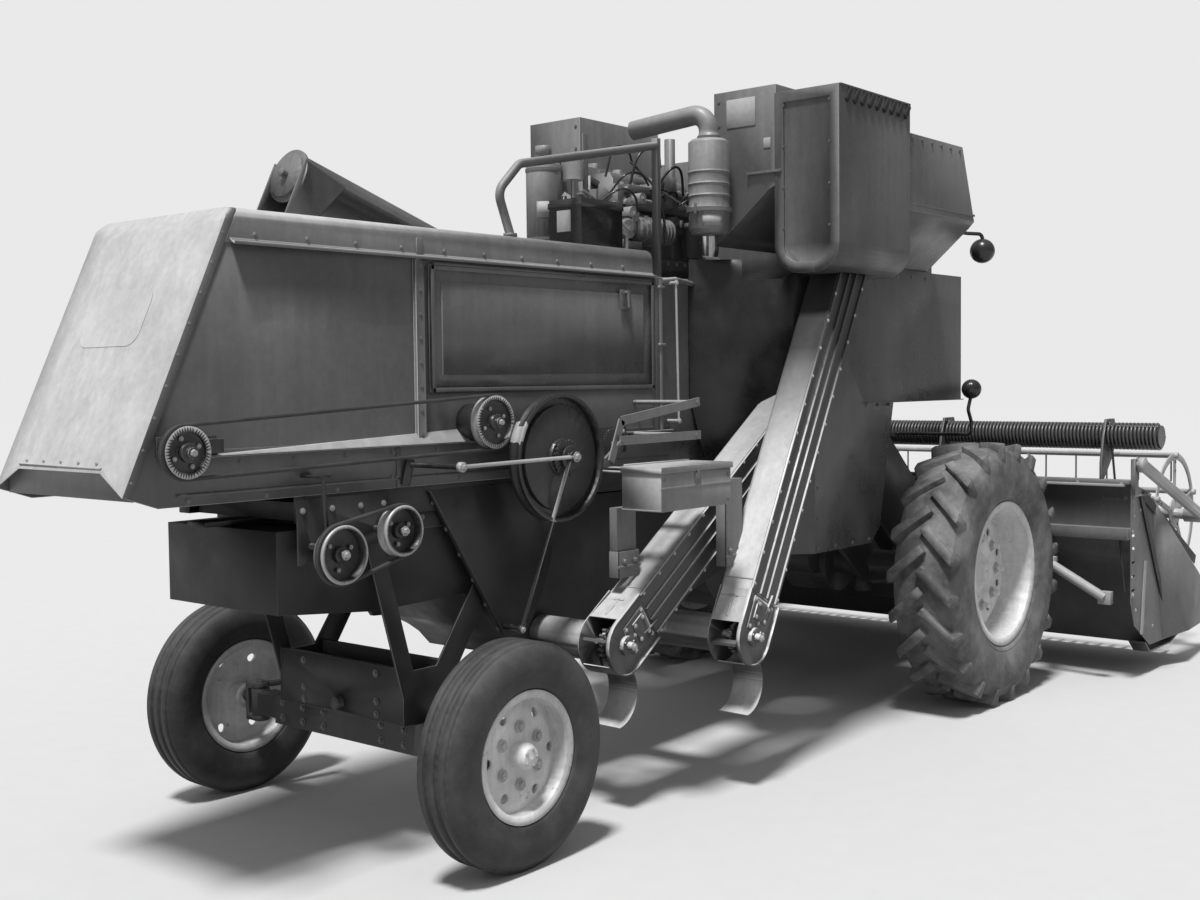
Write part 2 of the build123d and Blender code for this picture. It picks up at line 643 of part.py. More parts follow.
def cup(x, z, radius, y_mid, wide=45.0):
    """Wide pulley with a thin rim, a belt groove and its web on the machine's side."""
    h = wide / 2
    rim = ring_y([(radius - 12, -h), (radius - 3, -h), (radius, -17), (radius - 9, 0), (radius, 17),
                  (radius - 3, h),
                  (radius - 12, h)], 0)
    web = ring_y([(0, h - 8), (0, h - 2), (radius - 11, h - 2), (radius - 11, h - 8)], 0)
    hub = ring_y([(0, -6), (0, h + 6), (27, h + 6), (27, -6)], 0)
    return Pos(x, y_mid, z) * (rim + web + hub)


def toothed(x, z, radius, teeth, y0, y1):
    """Chain sprocket: a disc with square teeth."""
    wheel = disc_y(x, z, radius - 5, y0, y1)
    count = [Pos(x, (y0 + y1) / 2, z) * Rot(0, a * 360 / teeth, 0) * Pos(radius - 4, 0, 0) * Box(8,
                                                                                                 y1 - y0, 7)
             for a in range(teeth)]
    return wheel + count


walker_drive = pulley(*P1[:2], P1[2], -DRIVE_Y) + pulley(*P2[:2], P2[2], -DRIVE_Y)
walker_drive += shaft_stub(*P1[:2], DRIVE_Y + 40) + shaft_stub(*P2[:2], DRIVE_Y + 40)
walker_drive += disc_y(P2[0], P2[1], 65, -DRIVE_Y + 24, -BODY_HALF - 2)
walker_drive += block(P1[0] - 20, P1[0] + 185, -BODY_HALF - 8, -BODY_HALF - CLEAR, 1411, 1470)
walker_drive += strip((P1[0], -BODY_HALF - 60, P1[1]), (P1[0] + 150, -BODY_HALF - 60, 1440), 44, 8, (0, 1, 0))
walker_drive += block(P1[0] + 130, P1[0] + 170, -BODY_HALF - 64, -BODY_HALF - 7, 1420, 1460)
place("walker_drive", walker_drive)

# Big pulley: a deep rim, a web set back in a step, a bolted hub, a sprocket and the rods' crank
big_rim = ring_y([(222, -25), (236, -25), (227, 0), (236, 25), (222, 25)], 0)
big_web = ring_y([(223, 6), (193, 6), (193, -16), (60, -16), (60, -10), (187, -10), (187, 12), (223, 12)], 0)
big_hub = ring_y([(0, 30), (0, -30), (69, -30), (69, -10), (61, -8), (40, 30)], 0)
big_drive = Pos(BIG[0], BIG_Y, BIG[1]) * (big_rim + big_web + big_hub)
big_drive += shaft_stub(BIG[0], BIG[1], DRIVE_Y + 110, 22)
big_drive += toothed(BIG[0], BIG[1], 70, 24, BIG_Y - 46, BIG_Y - 39)
big_drive += disc_y(BIG[0], BIG[1], 46, CRANK_Y + 24, CRANK_Y + 32)
big_drive += disc_y(*CRANK, 11, CRANK_Y - 14, CRANK_Y + 32)
for a in range(0, 360, 60):
    big_drive += Pos(BIG[0], 0, BIG[1]) * Rot(0, a, 0) * disc_y(56, 0, 6, BIG_Y - 37, BIG_Y - 29)

# Pitman rods from the crank: one back to a lever on the body, one down to the shoe's hopper
rods = rod((CRANK[0], CRANK_Y, CRANK[1]), (LEVER[0], CRANK_Y, LEVER[1]), 7)
rods += disc_y(*CRANK, 22, CRANK_Y - 5, CRANK_Y + 5) + disc_y(*LEVER, 17, CRANK_Y - 9, CRANK_Y + 9)
rods += disc_y(*LEVER, 9, CRANK_Y, -BODY_HALF - CLEAR)
rods += strip((LEVER[0], -BODY_HALF - 10, LEVER[1] + 20), (LEVER[0] - 24, -BODY_HALF - 10, 1268), 34, 8,
              (0, 1, 0))
down_rod = rod((CRANK[0], CRANK_Y + 14, CRANK[1]), (HOPPER_PIN[0], -450, HOPPER_PIN[1]), 7)
down_rod += disc_y(*CRANK, 18, CRANK_Y + 8, CRANK_Y + 20)
down_rod += disc_y(*HOPPER_PIN, 16, -458, -442) + disc_y(*HOPPER_PIN, 9, -450, -SILL_Y1 - SIDE_T - 2 * CLEAR)
place("shoe_drive", big_drive + rods + down_rod)

lower = cup(*P4[:2], P4[2], -DRIVE_Y) + cup(*P5[:2], P5[2], -DRIVE_Y)
lower += disc_y(P4[0], P4[1], 14, -DRIVE_Y - 20, -SILL_Y1 - CLEAR)
lower += disc_y(P5[0], P5[1], 14, -DRIVE_Y - 20, -SILL_Y1 - CLEAR)
lower += plate_y([(-560, 1040), (-180, 1090), (-180, 1252), (-560, 1252)], -SILL_Y1 - 8, -SILL_Y1 - CLEAR)
lower += rod((P4[0] - 20, -DRIVE_Y + 40, P4[1] + 20), (P4[0] - 34, -DRIVE_Y + 40, 1326), 7)
lower += block(P4[0] - 60, P4[0] - 16, -DRIVE_Y + 24, -BODY_HALF - CLEAR, 1322, 1330)
lower += disc_y(P4[0] - 20, P4[1] + 20, 12, -DRIVE_Y + 34, -SILL_Y1 - 7)
place("lower_drive", lower)
place("drive_belts", belt(*P1, *P2, -DRIVE_Y), belt(*P4, *P5, -DRIVE_Y))

# Countershaft over the tool box: bearing plate, sprocket and the bent strap that holds the box's guard
COUNTER = (860, 1370)
counter = block(850, 1070, -BODY_HALF - 36, -BODY_HALF - CLEAR, 1422, 1434)
counter += block(850, 1070, -BODY_HALF - 36, -BODY_HALF - 28, 1330, 1434)
counter += toothed(*COUNTER, 62, 30, -500, -493) + disc_y(*COUNTER, 16, -506, -BODY_HALF - 30)
counter += disc_y(*COUNTER, 30, -BODY_HALF - 52, -BODY_HALF - 36)
place("countershaft", counter)


# Elevators: a flanged leg on a slope, with an open U-shaped boot at its foot and a cross auger tube
def along(x, z, slope, run, rise):
    """Point at run along the leg and rise square to it."""
    a = math.radians(slope)
    return (x + run * math.cos(a) - rise * math.sin(a), z + run * math.sin(a) + rise * math.cos(a))


def elevator(x, z, y, slope, length, tube_to):
    y0 = -y - LEG_W / 2
    y1 = -y + LEG_W / 2
    d = LEG_D / 2

    def at(run, rise):
        return along(x, z, slope, run, rise)

    leg = plate_y([at(150, -d), at(length, -d), at(length, d), at(150, d)], y0, y1)
    for rise in (-d + 8, -26, 26, d - 8):
        leg += plate_y([at(170, rise - 5), at(length, rise - 5), at(length, rise + 5), at(170, rise + 5)],
                       y0 - 9, y1 + 9)
    def cheek(gap, c0, c1):
        side = disc_y(x, z, BOOT_R - gap, c0, c1)
        return side + plate_y([at(0, -BOOT_R + gap), at(165, -d - 12 + gap), at(165, d + 12 - gap),
                               at(0, BOOT_R - gap)], c0, c1)

    boot = cheek(0, y0 - 5, y0) + cheek(0, y1, y1 + 5)
    boot += cheek(0, y0 - 16, y0) - cheek(5, y0 - 17, y0 + 1)
    boot += plate_y([at(18, -62), at(150, -78), at(150, 66), at(18, 62)], y0 - 10, y0 - 4)
    boot += plate_y([at(66, -52), at(138, -60), at(138, 44), at(66, 44)], y0 - 15, y0 - 9)
    bolt0 = at(100, -30)
    bolt1 = at(190, -44)
    boot += rod((bolt0[0], y0 - 12, bolt0[1]), (bolt1[0], y0 - 12, bolt1[1]), 5)
    floor = disc_y(x, z, BOOT_R, y0, y1) - disc_y(x, z, BOOT_R - 4, y0 - 1, y1 + 1)
    opening = plate_y([at(-400, -10), at(20, -10), at(60, BOOT_R + 20), at(-100, 400), at(-400, 200)],
                      y0 - 20, y1 + 20)
    lid = plate_y([at(20, BOOT_R - 6), at(160, d - 6), at(160, d), at(20, BOOT_R)], y0, y1)
    base = plate_y([at(0, -BOOT_R), at(160, -d - 2), at(160, -d + 4), at(0, -BOOT_R + 5)], y0, y1)
    boot += (floor - opening) + lid + base
    shaft = disc_y(x, z, 17, y0 - 44, y1) + disc_y(x, z, 38, y0 - 22, y0 - 5)
    for a in (90, 210, 330):
        shaft += Pos(x, 0, z) * Rot(0, a, 0) * disc_y(29, 0, 5, y0 - 27, y0 - 21)
    sprocket = toothed(x, z, 62, 16, -y - 7, -y + 7)
    boot += disc_y(x, z, 84, y1 + 5, y1 + 20) - disc_y(x, z, 66, y1 + 4, y1 + 21)
    tube = disc_y(x, z, 74, y1 + 6, -tube_to) - disc_y(x, z, 66, y1 + 5, -tube_to + 1)
    core = disc_y(x, z, 20, y1 - 1, -tube_to)
    return leg + boot + shaft + sprocket + tube + core


TAIL_LEN = 1960.0
GRAIN_LEN = 1700.0
tailings = elevator(TAIL_X, TAIL_Z, TAIL_Y, TAIL_SLOPE, TAIL_LEN, SHOE_HALF + CLEAR)
tail_end = along(TAIL_X, TAIL_Z, TAIL_SLOPE, TAIL_LEN - 100, 0)
tail_chute = block(tail_end[0] - 70, tail_end[0] + 70, -TAIL_Y + LEG_W / 2 - 1, -BODY_HALF - CLEAR,
                   tail_end[1] - 80, tail_end[1] + 80)
place("tailings_elevator", tailings + tail_chute)
clean_grain = elevator(GRAIN_X, GRAIN_Z, GRAIN_Y, GRAIN_SLOPE, GRAIN_LEN, SHOE_HALF + CLEAR)
place("grain_elevator", clean_grain)


# Clean-out doors: curved sheets hinged under each boot, shown hanging open as parked
DOOR_OPEN = 106.0
DOOR_HINGE = -70.0         # hinge's place round the boot, from straight ahead
DOOR_ARC = 118.0


def hinge_point(x, z):
    a = math.radians(DOOR_HINGE)
    return (x + (BOOT_R + 6 + CLEAR) * math.cos(a), z + (BOOT_R + 6 + CLEAR) * math.sin(a))


def cleanout(x, z, y):
    y0 = -y - LEG_W / 2 - 4
    y1 = -y + LEG_W / 2 + 4
    r = BOOT_R + 12
    hx, hz = hinge_point(x, z)
    a0 = math.radians(DOOR_HINGE - 2)
    a1 = math.radians(DOOR_HINGE - DOOR_ARC / 2)
    a2 = math.radians(DOOR_HINGE - DOOR_ARC)
    wedge = plate_y([(x, z)] + [(x + 300 * math.cos(a), z + 300 * math.sin(a)) for a in (a0, a1, a2)], y0, y1)
    shut = (disc_y(x, z, r, y0, y1) - disc_y(x, z, r - 3, y0 - 1, y1 + 1)) & wedge
    leaf = Pos(hx, 0, hz) * Rot(0, -DOOR_OPEN, 0) * Pos(-hx, 0, -hz) * shut
    return leaf + disc_y(hx, hz, 6, y0, y1)


place("tailings_door", cleanout(TAIL_X, TAIL_Z, TAIL_Y))
place("grain_door", cleanout(GRAIN_X, GRAIN_Z, GRAIN_Y))

# Tool box with a lipped lid, on two flat arms from the body
BOX_X0 = 620.0
BOX_X1 = 1060.0
BOX_Y0 = -912.0
BOX_Y1 = -732.0
BOX_Z0 = 1145.0
BOX_Z1 = 1302.0
tool_box = block(BOX_X0, BOX_X1, BOX_Y0, BOX_Y1, BOX_Z0, BOX_Z1)
tool_box -= block(BOX_X0 + SHEET, BOX_X1 - SHEET, BOX_Y0 + SHEET, BOX_Y1 - SHEET, BOX_Z0 + SHEET, BOX_Z1 + 1)
for x in (BOX_X0 + 150, BOX_X1 - 100):
    tool_box += block(x, x + 40, BOX_Y1, -BODY_HALF - CLEAR, 1268, 1274)
    tool_box += block(x, x + 40, -BODY_HALF - 6, -BODY_HALF - CLEAR, 1268, 1330)
    tool_box += block(x, x + 40, BOX_Y1, BOX_Y1 + 5, 1200, 1274)
place("tool_box", tool_box)
lid = block(BOX_X0 - 6, BOX_X1 + 6, BOX_Y0 - 6, BOX_Y1 + 2, BOX_Z1 + CLEAR, BOX_Z1 + SHEET)
lid += block(BOX_X0 - 6, BOX_X1 + 6, BOX_Y0 - 6, BOX_Y0 - 3, BOX_Z1 - 18, BOX_Z1 + SHEET)
for x in (BOX_X0 - 6, BOX_X1 + 3):
    lid += block(x, x + 3, BOX_Y0 - 6, BOX_Y1 + 2, BOX_Z1 - 18, BOX_Z1 + SHEET)
lid += disc_x(BOX_Y1 + 5, BOX_Z1 + 5, 5, BOX_X0 + 20, BOX_X1 - 20)
place("tool_box_lid", lid)


# Grain tank: cross bin with hopper floor, a wing each side of the engine, and the elevator's bulge
def tank_outline(half, top, low):
    return [(-half, top), (-half, 2360), (-650, low), (650, low), (half, 2360), (half, top)]


def grain_tank():
    low = BODY_TOP + CLEAR
    outer = plate_x(tank_outline(TANK_HALF, TANK_TOP, low), TANK_MID, TANK_FRONT)
    inner = plate_x(tank_outline(TANK_HALF - SHEET, TANK_TOP - SHEET, low + SHEET), TANK_MID + SHEET,
                    TANK_FRONT - SHEET)
    lean = plate_y([(TANK_FRONT - 140, TANK_TOP + 1), (TANK_FRONT + 1, TANK_TOP + 1), (TANK_FRONT + 1, 2330)],
                   -TANK_HALF - 1, TANK_HALF + 1)
    lean_in = plate_y([(TANK_FRONT - 140 - SHEET, TANK_TOP + 1), (TANK_FRONT + 1, TANK_TOP + 1),
                       (TANK_FRONT + 1, 2330 - SHEET), (TANK_FRONT - SHEET, 2330 - SHEET)],
                      -TANK_HALF - 1, TANK_HALF + 1)
    bin_shell = (outer - lean) - (inner - lean_in)
    hatch = block(TANK_MID + 60, TANK_FRONT - 200, -560, 560, TANK_TOP - 20, TANK_TOP + 20)
    bin_shell -= hatch
    for side in (-1, 1):
        y0 = side * WING_IN
        y1 = side * WING_OUT
        edge = [(y0, WING_TOP), (y0, 2200), (side * 480, 2270), (side * 660, 2420), (y1, 2440),
                (y1, WING_TOP)]
        wing = plate_x(edge, TANK_REAR, TANK_MID)
        hollow = plate_x([(y0 + side * SHEET, WING_TOP - SHEET), (y0 + side * SHEET, 2215),
                          (side * 478, 2276),
                          (side * 658, 2426), (y1 - side * SHEET, 2446),
                          (y1 - side * SHEET, WING_TOP - SHEET)],
                         TANK_REAR + SHEET, TANK_MID + SHEET + 1)
        mouth = plate_x([(y0 + side * 40, 2640), (y0 + side * 40, 2460), (y1 - side * 40, 2460),
                         (y1 - side * 40, 2640)], TANK_MID - 1, TANK_MID + SHEET + 1)
        bin_shell = (bin_shell + wing) - hollow - mouth
    return bin_shell


place("grain_tank", grain_tank())

# Tank lid over the cross bin's hatch, hinged at its front edge
tank_lid = block(TANK_MID + 40, TANK_FRONT - 180, -580, 580, TANK_TOP + CLEAR, TANK_TOP + 5)
tank_lid += disc_y(TANK_FRONT - 178, TANK_TOP + 8, 7, -560, 560)
tank_lid += block(TANK_MID + 60, TANK_MID + 90, -60, 60, TANK_TOP + 5, TANK_TOP + 30)
place("tank_lid", tank_lid)


# Elevator bulge: a trough with a round bottom, closed at both ends, over the elevator's head
def bulge():
    y0 = -1010.0
    y1 = -WING_OUT - CLEAR
    r = 120.0
    top = WING_TOP - 40

    def outline(gap):
        path = Plane.YZ * FilletPolyline((y0 + gap, top - gap), (y0 + gap, BULGE_LOW + gap),
                                         (y1 - gap, BULGE_LOW + gap), (y1 - gap, top - gap), radius=r - gap)
        lid = Line(path @ 1, path @ 0)
        return make_face(path.edges() + lid.edges())

    outer = Pos(TANK_REAR, 0, 0) * extrude(outline(0), amount=TANK_MID - TANK_REAR, dir=(1, 0, 0))
    inner = Pos(TANK_REAR + SHEET, 0, 0) * extrude(outline(SHEET), amount=TANK_MID - TANK_REAR - 2 * SHEET,
                                                   dir=(1, 0, 0))
    rim = Pos(TANK_REAR - 10, 0, 0) * extrude(outline(0), amount=10, dir=(1, 0, 0))
    rim -= Pos(TANK_REAR - 11, 0, 0) * extrude(outline(44), amount=12, dir=(1, 0, 0))
    return (outer - inner) + rim


head_envelope = plate_y([along(GRAIN_X, GRAIN_Z, GRAIN_SLOPE, r, s * (LEG_D / 2 + 2)) for r, s in
                         ((1000, -1), (GRAIN_LEN + 2, -1), (GRAIN_LEN + 2, 1), (1000, 1))],
                        -GRAIN_Y - LEG_W / 2 - 11, -GRAIN_Y + LEG_W / 2 + 11)
place("elevator_housing", bulge() - head_envelope)


# Side shields: a flat side with a drip ledge, folded in at 45 degrees towards the body
def side_shield(side, front):
    s = side
    y = SHIELD_Y
    y_out = y + SHEET
    flat = plate_y([(1940, SHIELD_LOW), (WHEELBASE - 766, SHIELD_LOW), (WHEELBASE - 681, SHIELD_LOW + 70),
                    (WHEELBASE - 546, SHIELD_LEDGE),
                    (front, SHIELD_LEDGE), (front, SHIELD_TOP), (1940, SHIELD_TOP)], s * y, s * y_out)
    ledge = plate_y([(WHEELBASE - 826, SHIELD_LEDGE), (front, SHIELD_LEDGE), (front, SHIELD_LEDGE + SHEET),
                     (WHEELBASE - 826, SHIELD_LEDGE + SHEET)], s * (y + 1), s * (y + 20))
    run = y - BODY_HALF - 2
    fold = plate_z([(1940, s * y_out), (1940 - run, s * (y_out - run)),
                    (1940 - run, s * (y_out - run - 5.657)),
                    (1940 + 1.657, s * y)], SHIELD_LOW, SHIELD_TOP)
    cut = plate_y([(1500, 700), (1690, 700), (1560, 1500), (1500, 1900)], -900, 900)
    top = plate_z([(BODY_FRONT - 370, s * y_out), (1940, s * y_out), (1940 - run, s * (y_out - run)),
                   (1940 - run, s * (BODY_HALF + CLEAR)), (BODY_FRONT - 370, s * (BODY_HALF + CLEAR))],
                  SHIELD_TOP, SHIELD_TOP + SHEET)
    return flat + ledge + (fold - cut) + top


tail_envelope = plate_y([along(TAIL_X, TAIL_Z, TAIL_SLOPE, r, s * (LEG_D / 2 + 2)) for r, s in
                         ((600, -1), (TAIL_LEN + 2, -1), (TAIL_LEN + 2, 1), (600, 1))],
                        -TAIL_Y - LEG_W / 2 - 11, -TAIL_Y + LEG_W / 2 + 11)
tank_cut = plate_x(tank_outline(TANK_HALF + 1, TANK_TOP, BODY_TOP - 1), TANK_REAR - 5, TANK_FRONT + 1)
bulge_cut = block(TANK_REAR - 12, TANK_MID + 1, -1011, -WING_OUT + 2, BULGE_LOW - CLEAR, 2400)
place("side_shield_right",
      side_shield(-1, BODY_FRONT - 10) - tail_envelope - tank_cut - bulge_cut - head_envelope)
place("side_shield_left", side_shield(1, BODY_FRONT - 340) - tank_cut)


# Engine: block and sump, head with its rounded cover, manifolds with their branches, carburettor,
# dynamo, filter, distributor, pulleys and fan, on two bearers across the deck
ENGINE_Y = 30.0


def engine():
    z0 = BODY_TOP + CLEAR
    base = block(1440, 1470, -270, 270, z0, z0 + 50) + block(2020, 2050, -270, 270, z0, z0 + 50)
    sump = plate_x([(-90, z0 + 22), (90, z0 + 22), (140, z0 + 60), (140, z0 + 110), (-140, z0 + 110),
                    (-140, z0 + 60)], 1410, 2080)
    case = plate_x([(-125, z0 + 110), (125, z0 + 110), (105, z0 + 330), (-105, z0 + 330)], 1385, 2080)
    for x in range(1440, 2060, 88):
        case += block(x, x + 14, -132, 132, z0 + 120, z0 + 300)
    head = block(1420, 2030, -112, 96, z0 + 330, z0 + 425)
    cover = plate_x([(-62, z0 + 425), (62, z0 + 425), (62, z0 + 452), (44, z0 + 482), (-44, z0 + 482),
                     (-62, z0 + 452)], 1450, 2000)
    cover += disc_z(1560, 0, 22, z0 + 480, z0 + 506)
    bell = disc_x(0, z0 + 200, 165, 2080, 2112)
    crank = disc_x(0, z0 + 110, 84, 1352, 1376) + disc_x(0, z0 + 110, 20, 1340, 1390)
    intake = disc_x(-152, z0 + 400, 20, 1470, 1960)
    exhaust = disc_x(-158, z0 + 336, 27, 1450, 1980)
    for x in (1480, 1630, 1790, 1940):
        intake += disc_y(x, z0 + 400, 17, -152, -110)
        exhaust += disc_y(x, z0 + 342, 22, -158, -104)
    stack = disc_z(1715, -176, 30, z0 + 330, z0 + 470) + disc_z(1715, -176, 24, z0 + 470, z0 + 640)
    carburettor = disc_z(1600, -172, 30, z0 + 392, z0 + 452) + block(1562, 1638, -200, -142, z0 + 404,
                                                                     z0 + 430)
    carburettor += disc_y(1600, z0 + 430, 22, -216, -172)
    dynamo = disc_x(-208, z0 + 216, 56, 1440, 1640) + disc_x(-208, z0 + 216, 48, 1412, 1440)
    for x in range(1460, 1640, 24):
        dynamo += disc_x(-208, z0 + 216, 60, x, x + 8)
    dynamo += disc_x(-208, z0 + 216, 44, 1352, 1374) + disc_x(-208, z0 + 216, 10, 1346, 1414)
    dynamo += block(1500, 1560, -208, -120, z0 + 150, z0 + 172)
    filter_can = disc_z(1860, -196, 42, z0 + 120, z0 + 262) + disc_z(1860, -196, 47, z0 + 250, z0 + 276)
    filter_can += block(1838, 1882, -196, -110, z0 + 228, z0 + 262)
    starter = disc_x(-170, z0 + 104, 36, 1900, 2080)
    distributor = disc_z(1760, -150, 22, z0 + 190, z0 + 262) + disc_z(1760, -150, 30, z0 + 262, z0 + 300)
    distributor += block(1744, 1776, -150, -110, z0 + 196, z0 + 222)
    fan_hub = disc_x(0, z0 + 300, 34, 1322, 1386) + disc_x(0, z0 + 300, 50, 1352, 1374)
    for a in range(0, 360, 60):
        fan_hub += Pos(1330, 0, z0 + 300) * Rot(a, 0, 0) * Pos(0, 0, 92) * Rot(0, 0, 24) * Box(5, 56, 130)
    whole = (base + sump + case + head + cover + bell + crank + intake + exhaust + stack + carburettor + dynamo
             + filter_can + starter + distributor + fan_hub)
    return Pos(0, ENGINE_Y, 0) * whole


place("engine", engine())

# Radiator with its screen, left of the engine
radiator = block(1420, 1980, 240, 330, BODY_TOP + 50 + 2 * CLEAR, 2600) - block(1450, 1950, 296, 331,
                                                                                BODY_TOP + 90, 2560)
for i in range(9):
    z = BODY_TOP + 110 + i * 50
    radiator += block(1450, 1950, 312, 322, z, z + 16)
radiator += disc_z(1700, 285, 32, 2600, 2626)
place("radiator", radiator)

# Air cleaner: ribbed canister, bowl and the elbow hose to the engine
CAN_X = 1600.0
CAN_Y = -440.0
CAN_R = 92.0
can_profile = [(0, 2240), (CAN_R - 14, 2240), (CAN_R - 4, 2262), (CAN_R - 4, 2330), (CAN_R + 4, 2332),
               (CAN_R + 4, 2350), (CAN_R - 4, 2352)]
for z in (2400, 2450, 2500):
    can_profile += [(CAN_R - 4, z - 6), (CAN_R, z), (CAN_R - 4, z + 6)]
can_profile += [(CAN_R - 4, 2628), (CAN_R - 18, 2640), (44, 2640), (44, 2666), (0, 2666)]
can = Face(Wire.make_polygon([Vector(r, 0, z) for r, z in can_profile], close=True))
canister = Pos(CAN_X, CAN_Y, 0) * revolve(can, axis=Axis.Z)
elbow = pipe([(CAN_X, CAN_Y, 2660), (CAN_X, CAN_Y, 2760), (CAN_X - 40, -60, 2720)], 42, 72)
strap = block(CAN_X + CAN_R - 20, TANK_REAR - CLEAR, CAN_Y - 20, CAN_Y + 20, 2420, 2450)
place("air_cleaner", canister + elbow + strap)

# Oil reservoir and battery on the deck cover
res_profile = [(0, 0), (74, 0), (74, 350), (62, 362), (24, 368), (24, 392), (34, 392), (34, 430), (0, 430)]
res_face = Face(Wire.make_polygon([Vector(r, 0, z) for r, z in res_profile], close=True))
place("oil_reservoir", Pos(1010, -20, DECK_TOP + CLEAR) * revolve(res_face, axis=Axis.Z))
battery = block(0, 260, -85, 85, 0, 185) + block(-4, 264, -89, 89, 150, 172)
battery += [disc_z(x, 40, 12, 185, 203) for x in (40, 220)]
place("battery", Pos(900, -230, DECK_TOP + CLEAR) * battery)

# Guard rail round the engine bay: a bent tube from the deck cover to a post ahead of the air cleaner
RAIL_Y = -300.0
POST_X = 1400.0
rail = pipe([(505, RAIL_Y, DECK_TOP + 8), (440, RAIL_Y, 2325), (560, RAIL_Y, 2440),
             (POST_X + 10, RAIL_Y, 2610)],
            17, 60)
rail += disc_z(505, RAIL_Y, 26, DECK_TOP + CLEAR, DECK_TOP + 14)
rail += block(POST_X, POST_X + 24, RAIL_Y - 15, RAIL_Y + 15, BODY_TOP + CLEAR, 2640)
place("guard_rail", rail)


# Operator's platform: floor, toe board, rails open at the ladder, seat stand, and the ladder on the left side
LADDER_Y = 1140.0
LADDER_X = BODY_FRONT - 80
FLOOR_TOP = FLOOR_Z + 24
RAIL_TOP = 2380.0


def operator_platform():
    x0 = BODY_FRONT + 4
    x1 = BODY_FRONT + 380
    floor = FLOOR_Z + CLEAR
    top = FLOOR_TOP
    deck = block(BODY_FRONT - 280 + CLEAR, x1, -420, 900, floor, top)
    deck += block(x0, x1, -420, 900, FLOOR_Z - 30, floor)
    deck -= block(x0 + 20, x1 - 20, -400, 880, FLOOR_Z - 31, floor)
    deck += block(BODY_FRONT - 100, BODY_FRONT + 260, 900, LADDER_Y + 16, floor, top)
    deck += block(x1 - 4, x1, -420, 900, top, top + 100)
    deck += block(BODY_FRONT - 330, BODY_FRONT - 275, BODY_HALF + CLEAR, 900, floor, top)
    x2 = BODY_FRONT - 280
    mid_z = (top + RAIL_TOP) / 2
    for y, x3 in ((-400, x1 - 40), (880, LADDER_X - 30)):
        deck += pipe([(x3, y, top), (x3, y, RAIL_TOP), (x2, y, RAIL_TOP), (x2, y, top)], 15, 60)
        deck += rod((x2, y, mid_z), (x3, y, mid_z), 11)
    return deck


place("operator_platform", operator_platform())
SEAT_X = BODY_FRONT - 260
seat = block(SEAT_X, SEAT_X + 340, 80, 520, 1890, 1970) + block(SEAT_X - 30, SEAT_X + 30, 80, 520, 1970, 2330)
seat += block(SEAT_X + 60, SEAT_X + 280, 200, 400, FLOOR_TOP + CLEAR, 1890)
place("seat", seat)
COLUMN_X = BODY_FRONT + 260
WHEEL_X = COLUMN_X - 104
column = rod((COLUMN_X, 300, 1600), (COLUMN_X - 100, 300, 2262), 30)
column += block(COLUMN_X - 50, COLUMN_X + 50, 240, 360, FLOOR_TOP + CLEAR, FLOOR_TOP + 26)
wheel = Pos(WHEEL_X, 300, 2262) * Rot(0, -8.6, 0) * Torus(190, 13)
spokes = [Pos(WHEEL_X, 300, 2258) * Rot(0, -8.6, 0) * Rot(0, 0, a) * Pos(95, 0, 0) * Box(190, 20, 8)
          for a in (0, 120, 240)]
levers = [rod((COLUMN_X - 60, y, 1620), (COLUMN_X - 120, y, 2100), 9) for y in (640, 700)]
quadrant = block(COLUMN_X - 100, COLUMN_X - 20, 620, 720, FLOOR_TOP + CLEAR, FLOOR_TOP + 60)
place("steering_column", column + wheel + spokes, quadrant + levers)
ladder = disc_z(LADDER_X + 320, LADDER_Y, 15, 560, FLOOR_Z) + disc_z(LADDER_X, LADDER_Y, 15, 560, FLOOR_Z)
for z in (575, 820, 1065, 1310):
    ladder += block(LADDER_X, LADDER_X + 320, LADDER_Y - 14, LADDER_Y + 26, z, z + 12)
place("ladder", ladder)

# Feeder house: a drum about the lift axis and a tapered box down to the platform
EYE_X = WHEELBASE + 404    # rod eye of the lift cylinders, between the feeder's lugs
EYE_Z = 510.0


def feeder():
    drum = disc_y(LIFT_X, LIFT_Z, LIFT_R, -FEEDER_HALF, FEEDER_HALF)
    trunk = plate_y([(LIFT_X + 60, LIFT_Z + 226), (LIFT_X - 60, LIFT_Z - 226), (HEAD_BACK - CLEAR, 330),
                     (HEAD_BACK - CLEAR, 850)], -FEEDER_HALF, FEEDER_HALF)
    throat = plate_y([(LIFT_X + 380, 1190), (LIFT_X + 380, 690), (HEAD_BACK + 1, 345), (HEAD_BACK + 1, 832)],
                     -FEEDER_HALF + SHEET, FEEDER_HALF - SHEET)
    house = drum + trunk - throat
    for side in (-1, 1):
        house += disc_y(LIFT_X, LIFT_Z, 40, side * FEEDER_HALF, side * BODY_HALF)
        for y in (side * 260 - 30, side * 260 + 24):
            house += plate_y([(EYE_X - 80, 705), (EYE_X + 80, 575), (EYE_X + 40, EYE_Z - 35),
                              (EYE_X - 40, EYE_Z - 35)], y, y + 6)
    return house


place("feeder_house", feeder())

# Lift cylinders from the axle to the feeder house
cylinders = None
for side in (-1, 1):
    y = side * 260.0
    eye = rod((WHEELBASE + 60, y, 556), (WHEELBASE + 250, y, 534), 38)
    eye += rod((WHEELBASE + 250, y, 534), (EYE_X - 6, y, EYE_Z + 1), 18)
    eye += disc_y(EYE_X, EYE_Z, 28, y - 16, y + 16)
    eye += block(WHEELBASE + 20, WHEELBASE + 90, y - 30, y + 30, FRONT_R - 160, FRONT_R - 40)
    cylinders = eye if cylinders is None else cylinders + eye
place("lift_cylinders", cylinders - front_axle())


